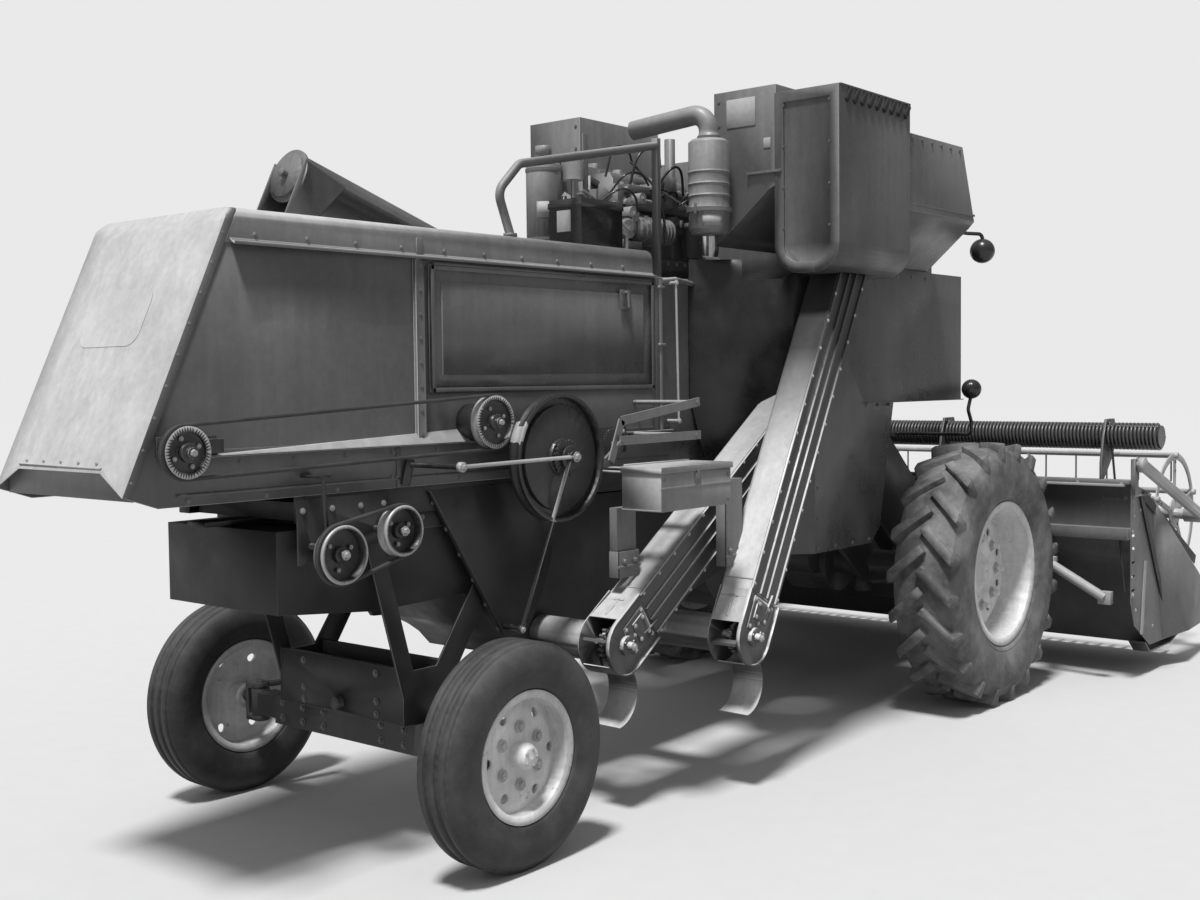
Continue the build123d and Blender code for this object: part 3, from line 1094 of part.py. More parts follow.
# Cutting platform: back sheet and trough floor, end sheets, dividers, knife, auger and reel
def head_pan():
    back = [(HEAD_BACK, HEAD_TOP), (HEAD_BACK, HEAD_BEND), (HEAD_LOW_X, HEAD_LOW),
            (KNIFE_X - 20, HEAD_LOW - 10),
            (KNIFE_X - 20, HEAD_LOW - 4), (HEAD_LOW_X + 3, HEAD_LOW + 5), (HEAD_BACK + 5, HEAD_BEND + 1),
            (HEAD_BACK + 5, HEAD_TOP)]
    pan = plate_y(back, -HEAD_HALF, HEAD_HALF)
    pan += block(HEAD_BACK - 26, HEAD_BACK + 22, -HEAD_HALF, HEAD_HALF, HEAD_TOP, HEAD_TOP + 22)
    pan += block(HEAD_BACK - 40, HEAD_BACK, -HEAD_HALF, -FEEDER_HALF - 20, HEAD_BEND, HEAD_BEND + 60)
    pan += block(HEAD_BACK - 40, HEAD_BACK, FEEDER_HALF + 20, HEAD_HALF, HEAD_BEND, HEAD_BEND + 60)
    for side in (-1, 1):
        y0 = side * HEAD_HALF
        y1 = side * (HEAD_HALF + SHEET)
        end = [(HEAD_BACK - 2, HEAD_TOP + 10), (HEAD_BACK - 2, 430), (HEAD_BACK + 60, 300),
               (HEAD_LOW_X - 3, HEAD_LOW - 8),
               (KNIFE_X + 20, HEAD_LOW - 18), (KNIFE_X + 20, 330), (HEAD_BACK + 575, 660),
               (HEAD_BACK + 285, 985)]
        sheet = plate_y(end, min(y0, y1), max(y0, y1))
        for z in (489, 563, 636, 710, 778):
            sheet -= block(HEAD_BACK + 14, HEAD_BACK + 62, min(y0, y1) - 1, max(y0, y1) + 1, z - 7, z + 7)
        pan += sheet
        post = block(HEAD_BACK - 2, HEAD_BACK + 50, min(y0, y1 + side * 20), max(y0, y1 + side * 20),
                     HEAD_TOP - 60, REEL_PIVOT_Z + 30)
        pan += post
        skid0 = side * (HEAD_HALF - 90)
        skid = [(HEAD_LOW_X - 60, HEAD_LOW + 10), (HEAD_LOW_X + 20, 118), (KNIFE_X - 200, 118),
                (KNIFE_X - 60, 150), (KNIFE_X - 60, 158), (KNIFE_X - 204, 126), (HEAD_LOW_X + 22, 126),
                (HEAD_LOW_X - 52, HEAD_LOW + 16)]
        pan += plate_y(skid, min(skid0, y0), max(skid0, y0))
    mouth = block(HEAD_BACK - 50, HEAD_BACK + 20, -FEEDER_HALF + 30, FEEDER_HALF - 30, 360, 820)
    return pan - mouth


head = head_pan()
place("platform_pan", head - feeder())


def divider(side):
    y = side * (HEAD_HALF + SHEET + CLEAR)
    y_out = side * (HEAD_HALF + 85)
    apex = Vector(HEAD_BACK + 305, y, 970)
    rear = Vector(HEAD_BACK + 515, y, 160)
    tip = Vector(TIP_X, y, 175)
    top_mid = Vector(KNIFE_X + 10, y_out, 500)
    low_mid = Vector(KNIFE_X - 150, y_out, 190)

    def tri(a, b, c):
        return Face(Wire.make_polygon([a, b, c], close=True))

    shell = Shell([tri(apex, rear, tip) if side < 0 else tri(apex, tip, rear),
                   tri(apex, top_mid, low_mid), tri(apex, low_mid, rear), tri(apex, tip, top_mid),
                   tri(top_mid, tip, low_mid), tri(rear, low_mid, tip)])
    return Solid(shell)


place("dividers", divider(-1), divider(1))

# Cutter bar: bar, guards and knife sections
bar = block(KNIFE_X - 19.7, KNIFE_X + 20, -HEAD_HALF + 2, HEAD_HALF - 2, HEAD_LOW - 12, HEAD_LOW)
guards = []
count = 36
pitch = 2 * (HEAD_HALF - 30) / count
for i in range(count + 1):
    y = -HEAD_HALF + 30 + i * pitch
    guards.append(plate_z([(KNIFE_X + 19, y - 14), (KNIFE_X + 125, y - 2), (KNIFE_X + 125, y + 2),
                           (KNIFE_X + 19, y + 14)],
                          HEAD_LOW - 10, HEAD_LOW + 8))
place("cutter_bar", bar + guards)


# Platform auger: tube with left and right hand flights that meet at the feeder's mouth
def auger_flight(y_start, y_end, hand, turns):
    """Flight built of flat sectors stepped along the tube."""
    n = 10 * turns
    step = (y_end - y_start) / n
    parts = []
    for i in range(n):
        a = hand * i * 36.0
        sector = Pos(AUGER_X, y_start + (i + 0.5) * step, AUGER_Z) * Rot(0, a, 0) * Pos(
            (AUGER_R + AUGER_TUBE) / 2 - 8, 0, 0) * Rot(hand * 9, 0, 0) * Box(AUGER_R - AUGER_TUBE + 14, 4,
                                                                             2 * math.pi * 165 / 10 * 1.06)
        parts.append(sector)
    return parts


screw = disc_y(AUGER_X, AUGER_Z, AUGER_TUBE, -HEAD_HALF + 12, HEAD_HALF - 12)
screw += disc_y(AUGER_X, AUGER_Z, 18, -HEAD_HALF + CLEAR, HEAD_HALF - CLEAR)
limit = disc_y(AUGER_X, AUGER_Z, AUGER_R, -HEAD_HALF + 8, HEAD_HALF - 8)
flights = [p & limit for p in auger_flight(-HEAD_HALF + 20, -300, 1, 3)]
flights += [p & limit for p in auger_flight(HEAD_HALF - 20, 300, -1, 3)]
fingers = [Pos(AUGER_X, -240 + i * 80, AUGER_Z) * Rot(0, i * 75, 0) * Pos(AUGER_TUBE + 45, 0, 0) * Rot(0,
                                                                                                       90, 0)
           * Cylinder(8, 110) for i in range(7)]
place("platform_auger", screw + flights + fingers)


# Pickup reel: shaft, spiders and tined bats
BATS = 5


def reel():
    shaft = disc_y(REEL_X, REEL_Z, 30, -REEL_HALF - 40, REEL_HALF + 40)
    whole = shaft
    for y in (-REEL_HALF + 20, -450, 450, REEL_HALF - 20):
        whole += disc_y(REEL_X, REEL_Z, 90, y - 4, y + 4)
        if abs(y) > 500:
            whole += disc_y(REEL_X, REEL_Z, 350, y - 3, y + 3) - disc_y(REEL_X, REEL_Z, 312, y - 4, y + 4)
        for i in range(BATS):
            a = math.radians(18 + i * 72)
            tip = (REEL_X + 330 * math.cos(a), y, REEL_Z + 330 * math.sin(a))
            whole += strip((REEL_X + 60 * math.cos(a), y, REEL_Z + 60 * math.sin(a)), tip, 34, 6, (0, 1, 0))
    tines = []
    for i in range(BATS):
        a = math.radians(18 + i * 72)
        x = REEL_X + 338 * math.cos(a)
        z = REEL_Z + 338 * math.sin(a)
        whole += disc_y(x, z, 17, -REEL_HALF, REEL_HALF)
        for k in range(15):
            y = -REEL_HALF + 40 + k * (2 * REEL_HALF - 80) / 14
            lean = math.radians(-90 + 14 * math.cos(a))
            reach = 150.0 if math.sin(a) > -0.5 else 100.0
            tines.append(rod((x, y, z), (x + reach * math.cos(lean), y, z + reach * math.sin(lean)), 5))
    return whole + tines


place("reel", reel())


def reel_arms():
    whole = None
    for side in (-1, 1):
        y = side * (HEAD_HALF + 52)
        arm = strip((REEL_PIVOT_X, y, REEL_PIVOT_Z), (REEL_X, y, REEL_Z), 60, 24, (0, 1, 0))
        arm += disc_y(REEL_PIVOT_X, REEL_PIVOT_Z, 40, y - 14, y + 14)
        pin = side * (HEAD_HALF + SHEET + 20 + CLEAR)
        arm += disc_y(REEL_PIVOT_X, REEL_PIVOT_Z, 18, min(pin, y), max(pin, y))
        inner = side * (REEL_HALF + 40 + CLEAR)
        arm += disc_y(REEL_X, REEL_Z, 44, min(inner, y + side * 14), max(inner, y + side * 14))
        whole = arm if whole is None else whole + arm
    return whole


place("reel_arms", reel_arms())

# Counterbalance spring along the top of the platform, on four brackets
spring = disc_y(SPRING_X, SPRING_Z, SPRING_R, -SPRING_HALF, SPRING_HALF)
place("balance_spring", spring)
brackets = None
for y in (-1270, -350, 350, 1270):
    foot = HEAD_TOP + 22 + CLEAR
    arm = plate_y([(HEAD_BACK - 24, foot), (HEAD_BACK + 20, foot), (SPRING_X + 40, SPRING_Z - 110),
                   (SPRING_X + 96, SPRING_Z), (SPRING_X + 60, SPRING_Z + 92), (SPRING_X - 60, SPRING_Z + 92),
                   (SPRING_X - 96, SPRING_Z), (HEAD_BACK - 24, foot + 90)], y - 6, y + 6)
    arm -= disc_y(SPRING_X, SPRING_Z, SPRING_R + CLEAR, y - 20, y + 20)
    brackets = arm if brackets is None else brackets + arm
place("spring_brackets", brackets)


# Unloading auger folded back along the left side, on its swivel
def unloading():
    a = math.radians(UNLOAD_SLOPE)

    def at(run, rise=0.0):
        return (SPOUT_X - run * math.cos(a) + rise * math.sin(a),
                SPOUT_Z + KNEE_RISE + run * math.sin(a) + rise * math.cos(a))

    def point(run):
        x, z = at(run)
        return (x, SPOUT_Y, z)

    mouth = UNLOAD_LEN - 170
    tube = rod(point(0), point(mouth), UNLOAD_R)
    roof = rod(point(mouth - 1), point(UNLOAD_LEN), UNLOAD_R) - rod(point(mouth - 2),
                                                                    point(UNLOAD_LEN + 1), UNLOAD_R - 4)
    roof -= plate_y([at(mouth - 10), at(UNLOAD_LEN + 5), at(UNLOAD_LEN + 5, -200), at(mouth - 10, -200)],
                    SPOUT_Y - 120, SPOUT_Y + 120)
    cap = rod(point(UNLOAD_LEN - 1), point(UNLOAD_LEN + 10), 118) + rod(point(UNLOAD_LEN + 10),
                                                                        point(UNLOAD_LEN + 24), 98)
    cap += rod(point(UNLOAD_LEN + 24), point(UNLOAD_LEN + 52), 18)
    chute = plate_y([(620, 2460), (460, 2310), (463, 2307), (623, 2457)], SPOUT_Y - 102, SPOUT_Y + 102)
    for side in (-1, 1):
        y0 = SPOUT_Y + side * (UNLOAD_R - 4)
        y1 = SPOUT_Y + side * (UNLOAD_R + 1)
        chute += plate_y([(410, 2560), (620, 2460), (460, 2310), (280, 2290)], min(y0, y1), max(y0, y1))
        y2 = SPOUT_Y + side * (UNLOAD_R + 14)
        chute += plate_y([(280, 2290), (460, 2310), (460, 2315), (280, 2295)], min(y0, y2), max(y0, y2))
    knee = Pos(SPOUT_X, SPOUT_Y, SPOUT_Z + KNEE_RISE) * Sphere(UNLOAD_R + 6)
    neck = disc_z(SPOUT_X, SPOUT_Y, UNLOAD_R, SPOUT_Z + CLEAR, SPOUT_Z + KNEE_RISE)
    return tube + roof + cap + chute + knee + neck


place("unloading_auger", unloading())
swivel = disc_z(SPOUT_X, SPOUT_Y, UNLOAD_R + 16, SPOUT_Z - 200, SPOUT_Z)
swivel += block(1945, SPOUT_X + 119, SHIELD_Y + SHEET + CLEAR, SPOUT_Y - 20, SPOUT_Z - 200, SPOUT_Z - 40)
place("auger_swivel", swivel)

# Lamps: one on the tank's front corner, one on a stalk over the front tyre
LAMP_X = TANK_FRONT + 170
lamp_arm = pipe([(TANK_FRONT + CLEAR, -920, 2318), (LAMP_X - 90, -920, 2318), (LAMP_X, -960, 2318),
                 (LAMP_X, -960, 2250)], 9, 25)
lamps = Pos(LAMP_X, -960, 2235) * Sphere(60) + lamp_arm
STALK_X = WHEELBASE + 193
STALK_Y = -808.0
stalk_foot = -BODY_HALF - 8 - CLEAR - 9
stalk = pipe([(STALK_X, STALK_Y, 1530), (STALK_X - 40, STALK_Y, 1450), (STALK_X, STALK_Y, 1385),
              (STALK_X, STALK_Y, 1320), (STALK_X, stalk_foot, 1320), (LIFT_X - 90, stalk_foot, 1320)], 9, 24)
second = Pos(STALK_X, STALK_Y, 1554) * Sphere(50) + stalk
place("work_lamps", lamps, second)
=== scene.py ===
import math

import bmesh
import bpy
from mathutils import Matrix, Vector


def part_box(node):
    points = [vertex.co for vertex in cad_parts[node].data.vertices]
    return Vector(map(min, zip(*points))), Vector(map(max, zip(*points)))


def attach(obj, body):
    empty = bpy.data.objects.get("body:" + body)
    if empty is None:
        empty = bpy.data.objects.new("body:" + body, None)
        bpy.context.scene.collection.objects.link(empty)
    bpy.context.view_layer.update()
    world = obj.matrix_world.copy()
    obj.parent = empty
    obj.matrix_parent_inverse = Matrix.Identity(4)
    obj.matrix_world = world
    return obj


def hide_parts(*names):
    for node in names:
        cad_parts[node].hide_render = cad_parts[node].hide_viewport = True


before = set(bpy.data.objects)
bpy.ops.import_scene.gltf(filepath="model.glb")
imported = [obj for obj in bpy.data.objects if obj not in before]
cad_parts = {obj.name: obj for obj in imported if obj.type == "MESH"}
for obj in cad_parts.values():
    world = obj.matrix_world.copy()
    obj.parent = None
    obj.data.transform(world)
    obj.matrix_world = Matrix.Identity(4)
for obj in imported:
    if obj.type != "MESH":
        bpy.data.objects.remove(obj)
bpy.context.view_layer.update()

# Camera: at eye height behind the right rear wheel, looking forward across the machine and a little down.
YAW = math.radians(50.31)
PITCH = math.radians(2.87)
ROLL = math.radians(-0.64)
EYE = (-5.508, -3.916, 1.621)
ahead = Vector((math.sin(YAW) * math.cos(PITCH), math.cos(YAW) * math.cos(PITCH), -math.sin(PITCH)))
level_right = Vector((math.cos(YAW), -math.sin(YAW), 0))
level_up = level_right.cross(ahead)
right = level_right * math.cos(ROLL) + level_up * math.sin(ROLL)
up = level_up * math.cos(ROLL) - level_right * math.sin(ROLL)
lens = bpy.data.cameras.new("photographer")
lens.lens = 41.84
lens.sensor_width = 36.0
lens.clip_end = 200
camera = bpy.data.objects.new("photographer", lens)
bpy.context.scene.collection.objects.link(camera)
camera.matrix_world = Matrix.Translation(EYE) @ Matrix((right, up, -ahead)).transposed().to_4x4()
bpy.context.scene.camera = camera
bpy.context.scene.view_settings.view_transform = "Standard"


# Floor and daylight: one plain pale sheet, a high soft sun from behind and a little from the right, and a
# pale sky. The eye and the gloss see the floor and sky paler than the light they throw on the machine.
def paint_nodes(name):
    """A new material, its shader, a maker of linked nodes, and its links."""
    material = bpy.data.materials.new(name)
    material.use_nodes = True
    nodes = material.node_tree.nodes
    links = material.node_tree.links

    def add(kind, inputs=(), **settings):
        made = nodes.new("ShaderNode" + kind)
        for key, value in settings.items():
            setattr(made, key, value)
        for key, value in dict(inputs).items():
            if isinstance(value, bpy.types.NodeSocket):
                links.new(value, made.inputs[key])
            else:
                made.inputs[key].default_value = value
        return made

    return material, nodes["Principled BSDF"], add, links


def seen_ray(add):
    """1 for rays that reach the eye, in gloss and through glass too."""
    path = add("LightPath")
    gloss = add("Math", {0: path.outputs["Is Camera Ray"], 1: path.outputs["Is Glossy Ray"]}, operation="MAXIMUM")
    return add("Math", {0: gloss.outputs[0], 1: path.outputs["Is Transmission Ray"]}, operation="MAXIMUM")


FLOOR_SEEN = 0.60
FLOOR_LIGHT = 0.30
SKY_SEEN = 0.82
SKY_LIGHT = 0.36
floor_mesh = bmesh.new()
bmesh.ops.create_grid(floor_mesh, x_segments=1, y_segments=1, size=60)
floor_data = bpy.data.meshes.new("floor")
floor_mesh.to_mesh(floor_data)
floor_mesh.free()
floor = bpy.data.objects.new("floor", floor_data)
bpy.context.scene.collection.objects.link(floor)
ground, ground_shader, add, links = paint_nodes("pale_ground")
speckle = add("TexNoise", {"Vector": add("TexCoord").outputs["Object"], "Scale": 9.0, "Detail": 8.0})
grain = add("MapRange", {"Value": speckle.outputs["Fac"], "To Min": 0.97, "To Max": 1.03})
tone = add("Mix", {"Factor": seen_ray(add).outputs[0], "A": FLOOR_LIGHT, "B": FLOOR_SEEN}, data_type="FLOAT")
tone = add("Math", {0: tone.outputs[0], 1: grain.outputs[0]}, operation="MULTIPLY")
tint = add("CombineColor", {0: tone.outputs[0], 1: tone.outputs[0], 2: tone.outputs[0]})
links.new(tint.outputs[0], ground_shader.inputs["Base Color"])
ground_shader.inputs["Roughness"].default_value = 0.9
ground_shader.inputs["Specular IOR Level"].default_value = 0.1
floor_data.materials.append(ground)

sun_data = bpy.data.lights.new("day", "SUN")
sun_data.energy = 3.5
sun_data.angle = math.radians(9)
sun = bpy.data.objects.new("day", sun_data)
sun.rotation_euler = Vector((0.36, 0.13, -1.0)).to_track_quat("-Z", "Y").to_euler()
bpy.context.scene.collection.objects.link(sun)

world = bpy.data.worlds.new("sky")
bpy.context.scene.world = world
world.use_nodes = True
backing = world.node_tree.nodes["Background"]
backing.inputs["Color"].default_value = (1, 1, 1, 1)
path = world.node_tree.nodes.new("ShaderNodeLightPath")
gloss = world.node_tree.nodes.new("ShaderNodeMath")
gloss.operation = "MAXIMUM"
world.node_tree.links.new(path.outputs["Is Camera Ray"], gloss.inputs[0])
world.node_tree.links.new(path.outputs["Is Transmission Ray"], gloss.inputs[1])
strength = world.node_tree.nodes.new("ShaderNodeMix")
strength.data_type = "FLOAT"
strength.inputs["A"].default_value = SKY_LIGHT
strength.inputs["B"].default_value = SKY_SEEN
world.node_tree.links.new(gloss.outputs[0], strength.inputs["Factor"])
world.node_tree.links.new(strength.outputs["Result"], backing.inputs["Strength"])


# Threshing body: thin steel sheet in a sprayed enamel, dulled by sun and dust, with shallow dents, bolted
# seams, a ledge along each side and a door over the straw walkers that hangs from its top edge.
def enamel(name, grey, painted_sunlit_grey=None, dust=0.18, dust_grey=0.30, rough=0.38, dents=0.20, streaks=0.6, chips=0.0,
           painted_shade=None):
    """Sheet enamel. The sunlit grey is a painted highlight: the grey the sheet is painted on top and towards the
    rear, where the sun falls on it. The shade is a direction, the two distances along it between which the sheet
    darkens to a painted shade, and that shade's grey."""
    material, shader, add, links = paint_nodes(name)
    coords = add("TexCoord")
    place = coords.outputs["Object"]
    clouds = add("TexNoise", {"Vector": place, "Scale": 1.7, "Detail": 6.0, "Roughness": 0.62})
    long = add("Mapping", {"Vector": place, "Scale": (9.0, 9.0, 0.7)})
    runs = add("TexNoise", {"Vector": long.outputs[0], "Scale": 2.2, "Detail": 5.0, "Roughness": 0.7})
    grit = add("TexNoise", {"Vector": place, "Scale": 46.0, "Detail": 3.0})
    worn = add("MapRange", {"Value": clouds.outputs["Fac"], "From Min": 0.35, "From Max": 0.75, "To Min": 0.80,
                            "To Max": 1.20})
    run = add("MapRange", {"Value": runs.outputs["Fac"], "From Min": 0.35, "From Max": 0.7,
                           "To Min": 1.0 - 0.16 * streaks, "To Max": 1.0 + 0.12 * streaks})
    fine = add("MapRange", {"Value": grit.outputs["Fac"], "From Min": 0.3, "From Max": 0.7, "To Min": 0.94,
                            "To Max": 1.06})
    wear = add("Math", {0: worn.outputs[0], 1: run.outputs[0]}, operation="MULTIPLY")
    wear = add("Math", {0: wear.outputs[0], 1: fine.outputs[0]}, operation="MULTIPLY")
    base = grey
    # Painted highlight: faces that look up and to the rear, towards the sun, are painted in the paler sunlit grey.
    if painted_sunlit_grey is not None:
        sun_facing = add("VectorMath", {0: coords.outputs["Normal"], 1: (-0.62, 0.0, 0.78)}, operation="DOT_PRODUCT")
        sunlit_mask = add("MapRange", {"Value": sun_facing.outputs["Value"], "From Min": 0.30, "From Max": 0.85},
                    interpolation_type="SMOOTHSTEP")
        base = add("Mix", {"Factor": sunlit_mask.outputs[0], "A": grey, "B": painted_sunlit_grey}, data_type="FLOAT").outputs[0]
    tone = add("Math", {0: wear.outputs[0], 1: base}, operation="MULTIPLY")
    # Painted shade: the sheet darkens beyond a line across the given direction, where other parts shade it.
    if painted_shade:
        along, shade_start, black, shade_grey = painted_shade
        reach = add("VectorMath", {0: place, 1: along}, operation="DOT_PRODUCT")
        shade_mask = add("MapRange", {"Value": reach.outputs["Value"], "From Min": shade_start, "From Max": black})
        tone = add("Mix", {"Factor": shade_mask.outputs[0], "A": tone.outputs[0], "B": shade_grey}, data_type="FLOAT")
    height = add("SeparateXYZ", {0: place})
    low = add("MapRange", {"Value": height.outputs["Z"], "From Min": 0.1, "From Max": 1.5, "To Min": 1.0,
                           "To Max": 0.25})
    patch = add("TexNoise", {"Vector": place, "Scale": 5.0, "Detail": 7.0, "Roughness": 0.68})
    cover = add("MapRange", {"Value": patch.outputs["Fac"], "From Min": 0.42, "From Max": 0.72, "To Max": dust})
    amount = add("Math", {0: cover.outputs[0], 1: low.outputs[0]}, operation="MULTIPLY")
    tone = add("Mix", {"Factor": amount.outputs[0], "A": tone.outputs[0], "B": dust_grey}, data_type="FLOAT")
    if chips:
        flake = add("TexNoise", {"Vector": place, "Scale": 17.0, "Detail": 8.0, "Roughness": 0.75})
        bare = add("MapRange", {"Value": flake.outputs["Fac"], "From Min": 0.66 - chips, "From Max": 0.70 - chips})
        tone = add("Mix", {"Factor": bare.outputs[0], "A": tone.outputs[0], "B": 0.32}, data_type="FLOAT")
    colour = add("CombineColor", {0: tone.outputs[0], 1: tone.outputs[0], 2: tone.outputs[0]})
    links.new(colour.outputs[0], shader.inputs["Base Color"])
    gloss = add("MapRange", {"Value": patch.outputs["Fac"], "From Min": 0.3, "From Max": 0.7,
                             "To Min": rough - 0.08, "To Max": rough + 0.20})
    links.new(gloss.outputs[0], shader.inputs["Roughness"])
    wide = add("TexNoise", {"Vector": place, "Scale": 2.6, "Detail": 2.0})
    dent = add("Bump", {"Height": wide.outputs["Fac"], "Strength": dents, "Distance": 0.03})
    skin = add("Bump", {"Height": grit.outputs["Fac"], "Strength": 0.08, "Distance": 0.001,
                        "Normal": dent.outputs[0]})
    links.new(skin.outputs[0], shader.inputs["Normal"])
    return material


def steel(name, grey, rough=0.45, metallic=0.0, rust=0.35):
    """Bare or thinly painted steel with a brown-grey bloom of old rust."""
    material, shader, add, links = paint_nodes(name)
    place = add("TexCoord").outputs["Object"]
    bloom = add("TexNoise", {"Vector": place, "Scale": 14.0, "Detail": 8.0, "Roughness": 0.7})
    fine = add("TexNoise", {"Vector": place, "Scale": 120.0, "Detail": 3.0})
    spread = add("MapRange", {"Value": bloom.outputs["Fac"], "From Min": 0.42, "From Max": 0.66, "To Max": rust})
    shade = add("MapRange", {"Value": fine.outputs["Fac"], "To Min": grey * 0.85, "To Max": grey * 1.15})
    tone = add("Mix", {"Factor": spread.outputs[0], "A": shade.outputs[0], "B": grey * 0.45}, data_type="FLOAT")
    colour = add("CombineColor", {0: tone.outputs[0], 1: tone.outputs[0], 2: tone.outputs[0]})
    links.new(colour.outputs[0], shader.inputs["Base Color"])
    shader.inputs["Metallic"].default_value = metallic
    gloss = add("MapRange", {"Value": bloom.outputs["Fac"], "To Min": rough - 0.1, "To Max": rough + 0.25})
    links.new(gloss.outputs[0], shader.inputs["Roughness"])
    skin = add("Bump", {"Height": fine.outputs["Fac"], "Strength": 0.12, "Distance": 0.0008})
    links.new(skin.outputs[0], shader.inputs["Normal"])
    return material


REAR_AXLE_X = (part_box("rear_tyre_right")[0][0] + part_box("rear_tyre_right")[1][0]) / 2


def dress(nodes, material, edge=0.0015, worn=None, angle=32):
    """Finishes CAD nodes: paint, smooth facets and broken edges, bare to the worn material where given."""
    for node in nodes.split():
        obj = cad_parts[node]
        obj.data.materials.clear()
        obj.data.materials.append(material)
        obj.data.polygons.foreach_set("use_smooth", [True] * len(obj.data.polygons))
        joined = obj.modifiers.new("joined", "WELD")
        joined.merge_threshold = 0.00002
        broken = obj.modifiers.new("broken_edge", "BEVEL")
        broken.width = edge
        broken.segments = 1
        broken.limit_method = "ANGLE"
        broken.angle_limit = math.radians(angle)
        broken.harden_normals = True
        if worn:
            obj.data.materials.append(worn)
            broken.material = 1


def paint_faces(nodes, material, chosen):
    """Gives CAD faces another paint where chosen, asked with a face's middle (mm) and normal, says so."""
    for node in nodes.split():
        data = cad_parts[node].data
        data.materials.append(material)
        last = len(data.materials) - 1
        for face in data.polygons:
            x, y, z = face.center
            if chosen((x - REAR_AXLE_X) * 1000, y * 1000, z * 1000, face.normal):
                face.material_index = last


def finished(name, mesh, material, body="machine", smooth=30):
    """Makes a piece of a bmesh: normals outwards, shaded, painted and riding on its body."""
    bmesh.ops.recalc_face_normals(mesh, faces=mesh.faces)
    data = bpy.data.meshes.new(name)
    mesh.to_mesh(data)
    mesh.free()
    data.materials.append(material)
    data.polygons.foreach_set("use_smooth", [smooth > 0] * len(data.polygons))
    data.set_sharp_from_angle(angle=math.radians(smooth))
    obj = bpy.data.objects.new(name, data)
    bpy.context.scene.collection.objects.link(obj)
    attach(obj, body)
    return obj


def at(x, y, z):
    """A point in millimetres ahead of the rear axle, to the machine's left, and up from the ground."""
    return Vector((REAR_AXLE_X + x / 1000, y / 1000, z / 1000))


def bar(mesh, low, high, soft=0.0):
    """A box between two corners, its edges rounded by soft."""
    low = at(*low)
    high = at(*high)
    place = Matrix.Translation((low + high) / 2) @ Matrix.Diagonal((*(high - low), 1))
    made = bmesh.ops.create_cube(mesh, size=1, matrix=place)["verts"]
    bmesh.ops.recalc_face_normals(mesh, faces=list({f for v in made for f in v.link_faces}))
    if soft:
        edges = list({e for v in made for e in v.link_edges})
        bmesh.ops.bevel(mesh, geom=edges, offset=soft / 1000, offset_type="OFFSET", segments=2, profile=0.5,
                        affect="EDGES", clamp_overlap=True, material=-1)


def spindle(mesh, start, end, radius, sides=14, taper=1.0):
    """A round bar from start to end, narrowing by taper."""
    start = at(*start)
    end = at(*end)
    along = end - start
    place = Matrix.Translation((start + end) / 2) @ along.to_track_quat("Z", "Y").to_matrix().to_4x4()
    bmesh.ops.create_cone(mesh, cap_ends=True, segments=sides, radius1=radius / 1000,
                          radius2=radius * taper / 1000, depth=along.length, matrix=place)


def bolt(mesh, place, facing, size=8.0, proud=6.0):
    """A hexagon head on its washer; size is across the head's corners from its axis."""
    x, y, z = place
    fx, fy, fz = facing
    lift = [v * 1.4 for v in facing]
    spindle(mesh, (x - fx, y - fy, z - fz), (x + lift[0], y + lift[1], z + lift[2]), size * 1.5, 12)
    spindle(mesh, (x, y, z), (x + fx * proud, y + fy * proud, z + fz * proud), size, 6, 0.88)


def row(start, end, count):
    """Evenly spaced places from start to end, both included."""
    a = Vector(start)
    b = Vector(end)
    return [tuple(a.lerp(b, i / (count - 1))) for i in range(count)]


RIGHT = (0, -1, 0)
REARWARD = (-1, 0, 0)
BODY_SIDE = 360
LEDGE_Z = 1404
# In this and the paints below, the second grey is a painted highlight: faces that look up and to the rear, towards
# the sun, are painted paler.
body_paint = enamel("body_paint", 0.105, painted_sunlit_grey=0.20, rough=0.30, dents=0.30)
door_paint = enamel("door_paint", 0.125, painted_sunlit_grey=0.22, rough=0.26, dents=0.42)
bare_edge = steel("bare_edge", 0.42, rough=0.5, rust=0.25)
dull_steel = steel("dull_steel", 0.17, rough=0.5)
dress("separator_body", body_paint, worn=bare_edge)
dress("walker_door", door_paint, worn=bare_edge)
fixings = bmesh.new()
for side in (-1, 1):
    face = side * BODY_SIDE
    outward = (0, side, 0)
    for place in row((-980, face, 1384), (1290, face, 1384), 12) + row((-960, face, 1275), (1290, face, 1275), 9):
        bolt(fixings, place, outward, 6, 4)
    for place in row((-28, side * 374, 1440), (-28, side * 374, 2020), 8):
        bolt(fixings, place, outward, 5, 3)
    for place in row((-160, face, 1300), (-160, face, 1390), 2) + row((-140, face, 1300), (-140, face, 1390), 2):
        bolt(fixings, place, outward, 5, 4)
finished("body_bolts", fixings, dull_steel)

# Pressed frame and stiffening beads of the body's side sheets, and the cover strip at the door's front edge
beads = bmesh.new()
for side in (-1, 1):
    y0, y1 = sorted((side * (BODY_SIDE - 1), side * (BODY_SIDE + 4)))
    y2, y3 = sorted((side * (BODY_SIDE - 1), side * (BODY_SIDE + 14)))
    bar(beads, (-1000, y0, 1290), (1400, y1, 1298), 2)
    bar(beads, (1300, y2, LEDGE_Z + 8), (1330, y3, 2044), 3)
    bar(beads, (-1050, y0, LEDGE_Z + 6), (1400, y1, LEDGE_Z + 22), 2)
    bar(beads, (-140, y0, 1262), (-120, y1, LEDGE_Z - 2), 2)
finished("body_beads", beads, body_paint)

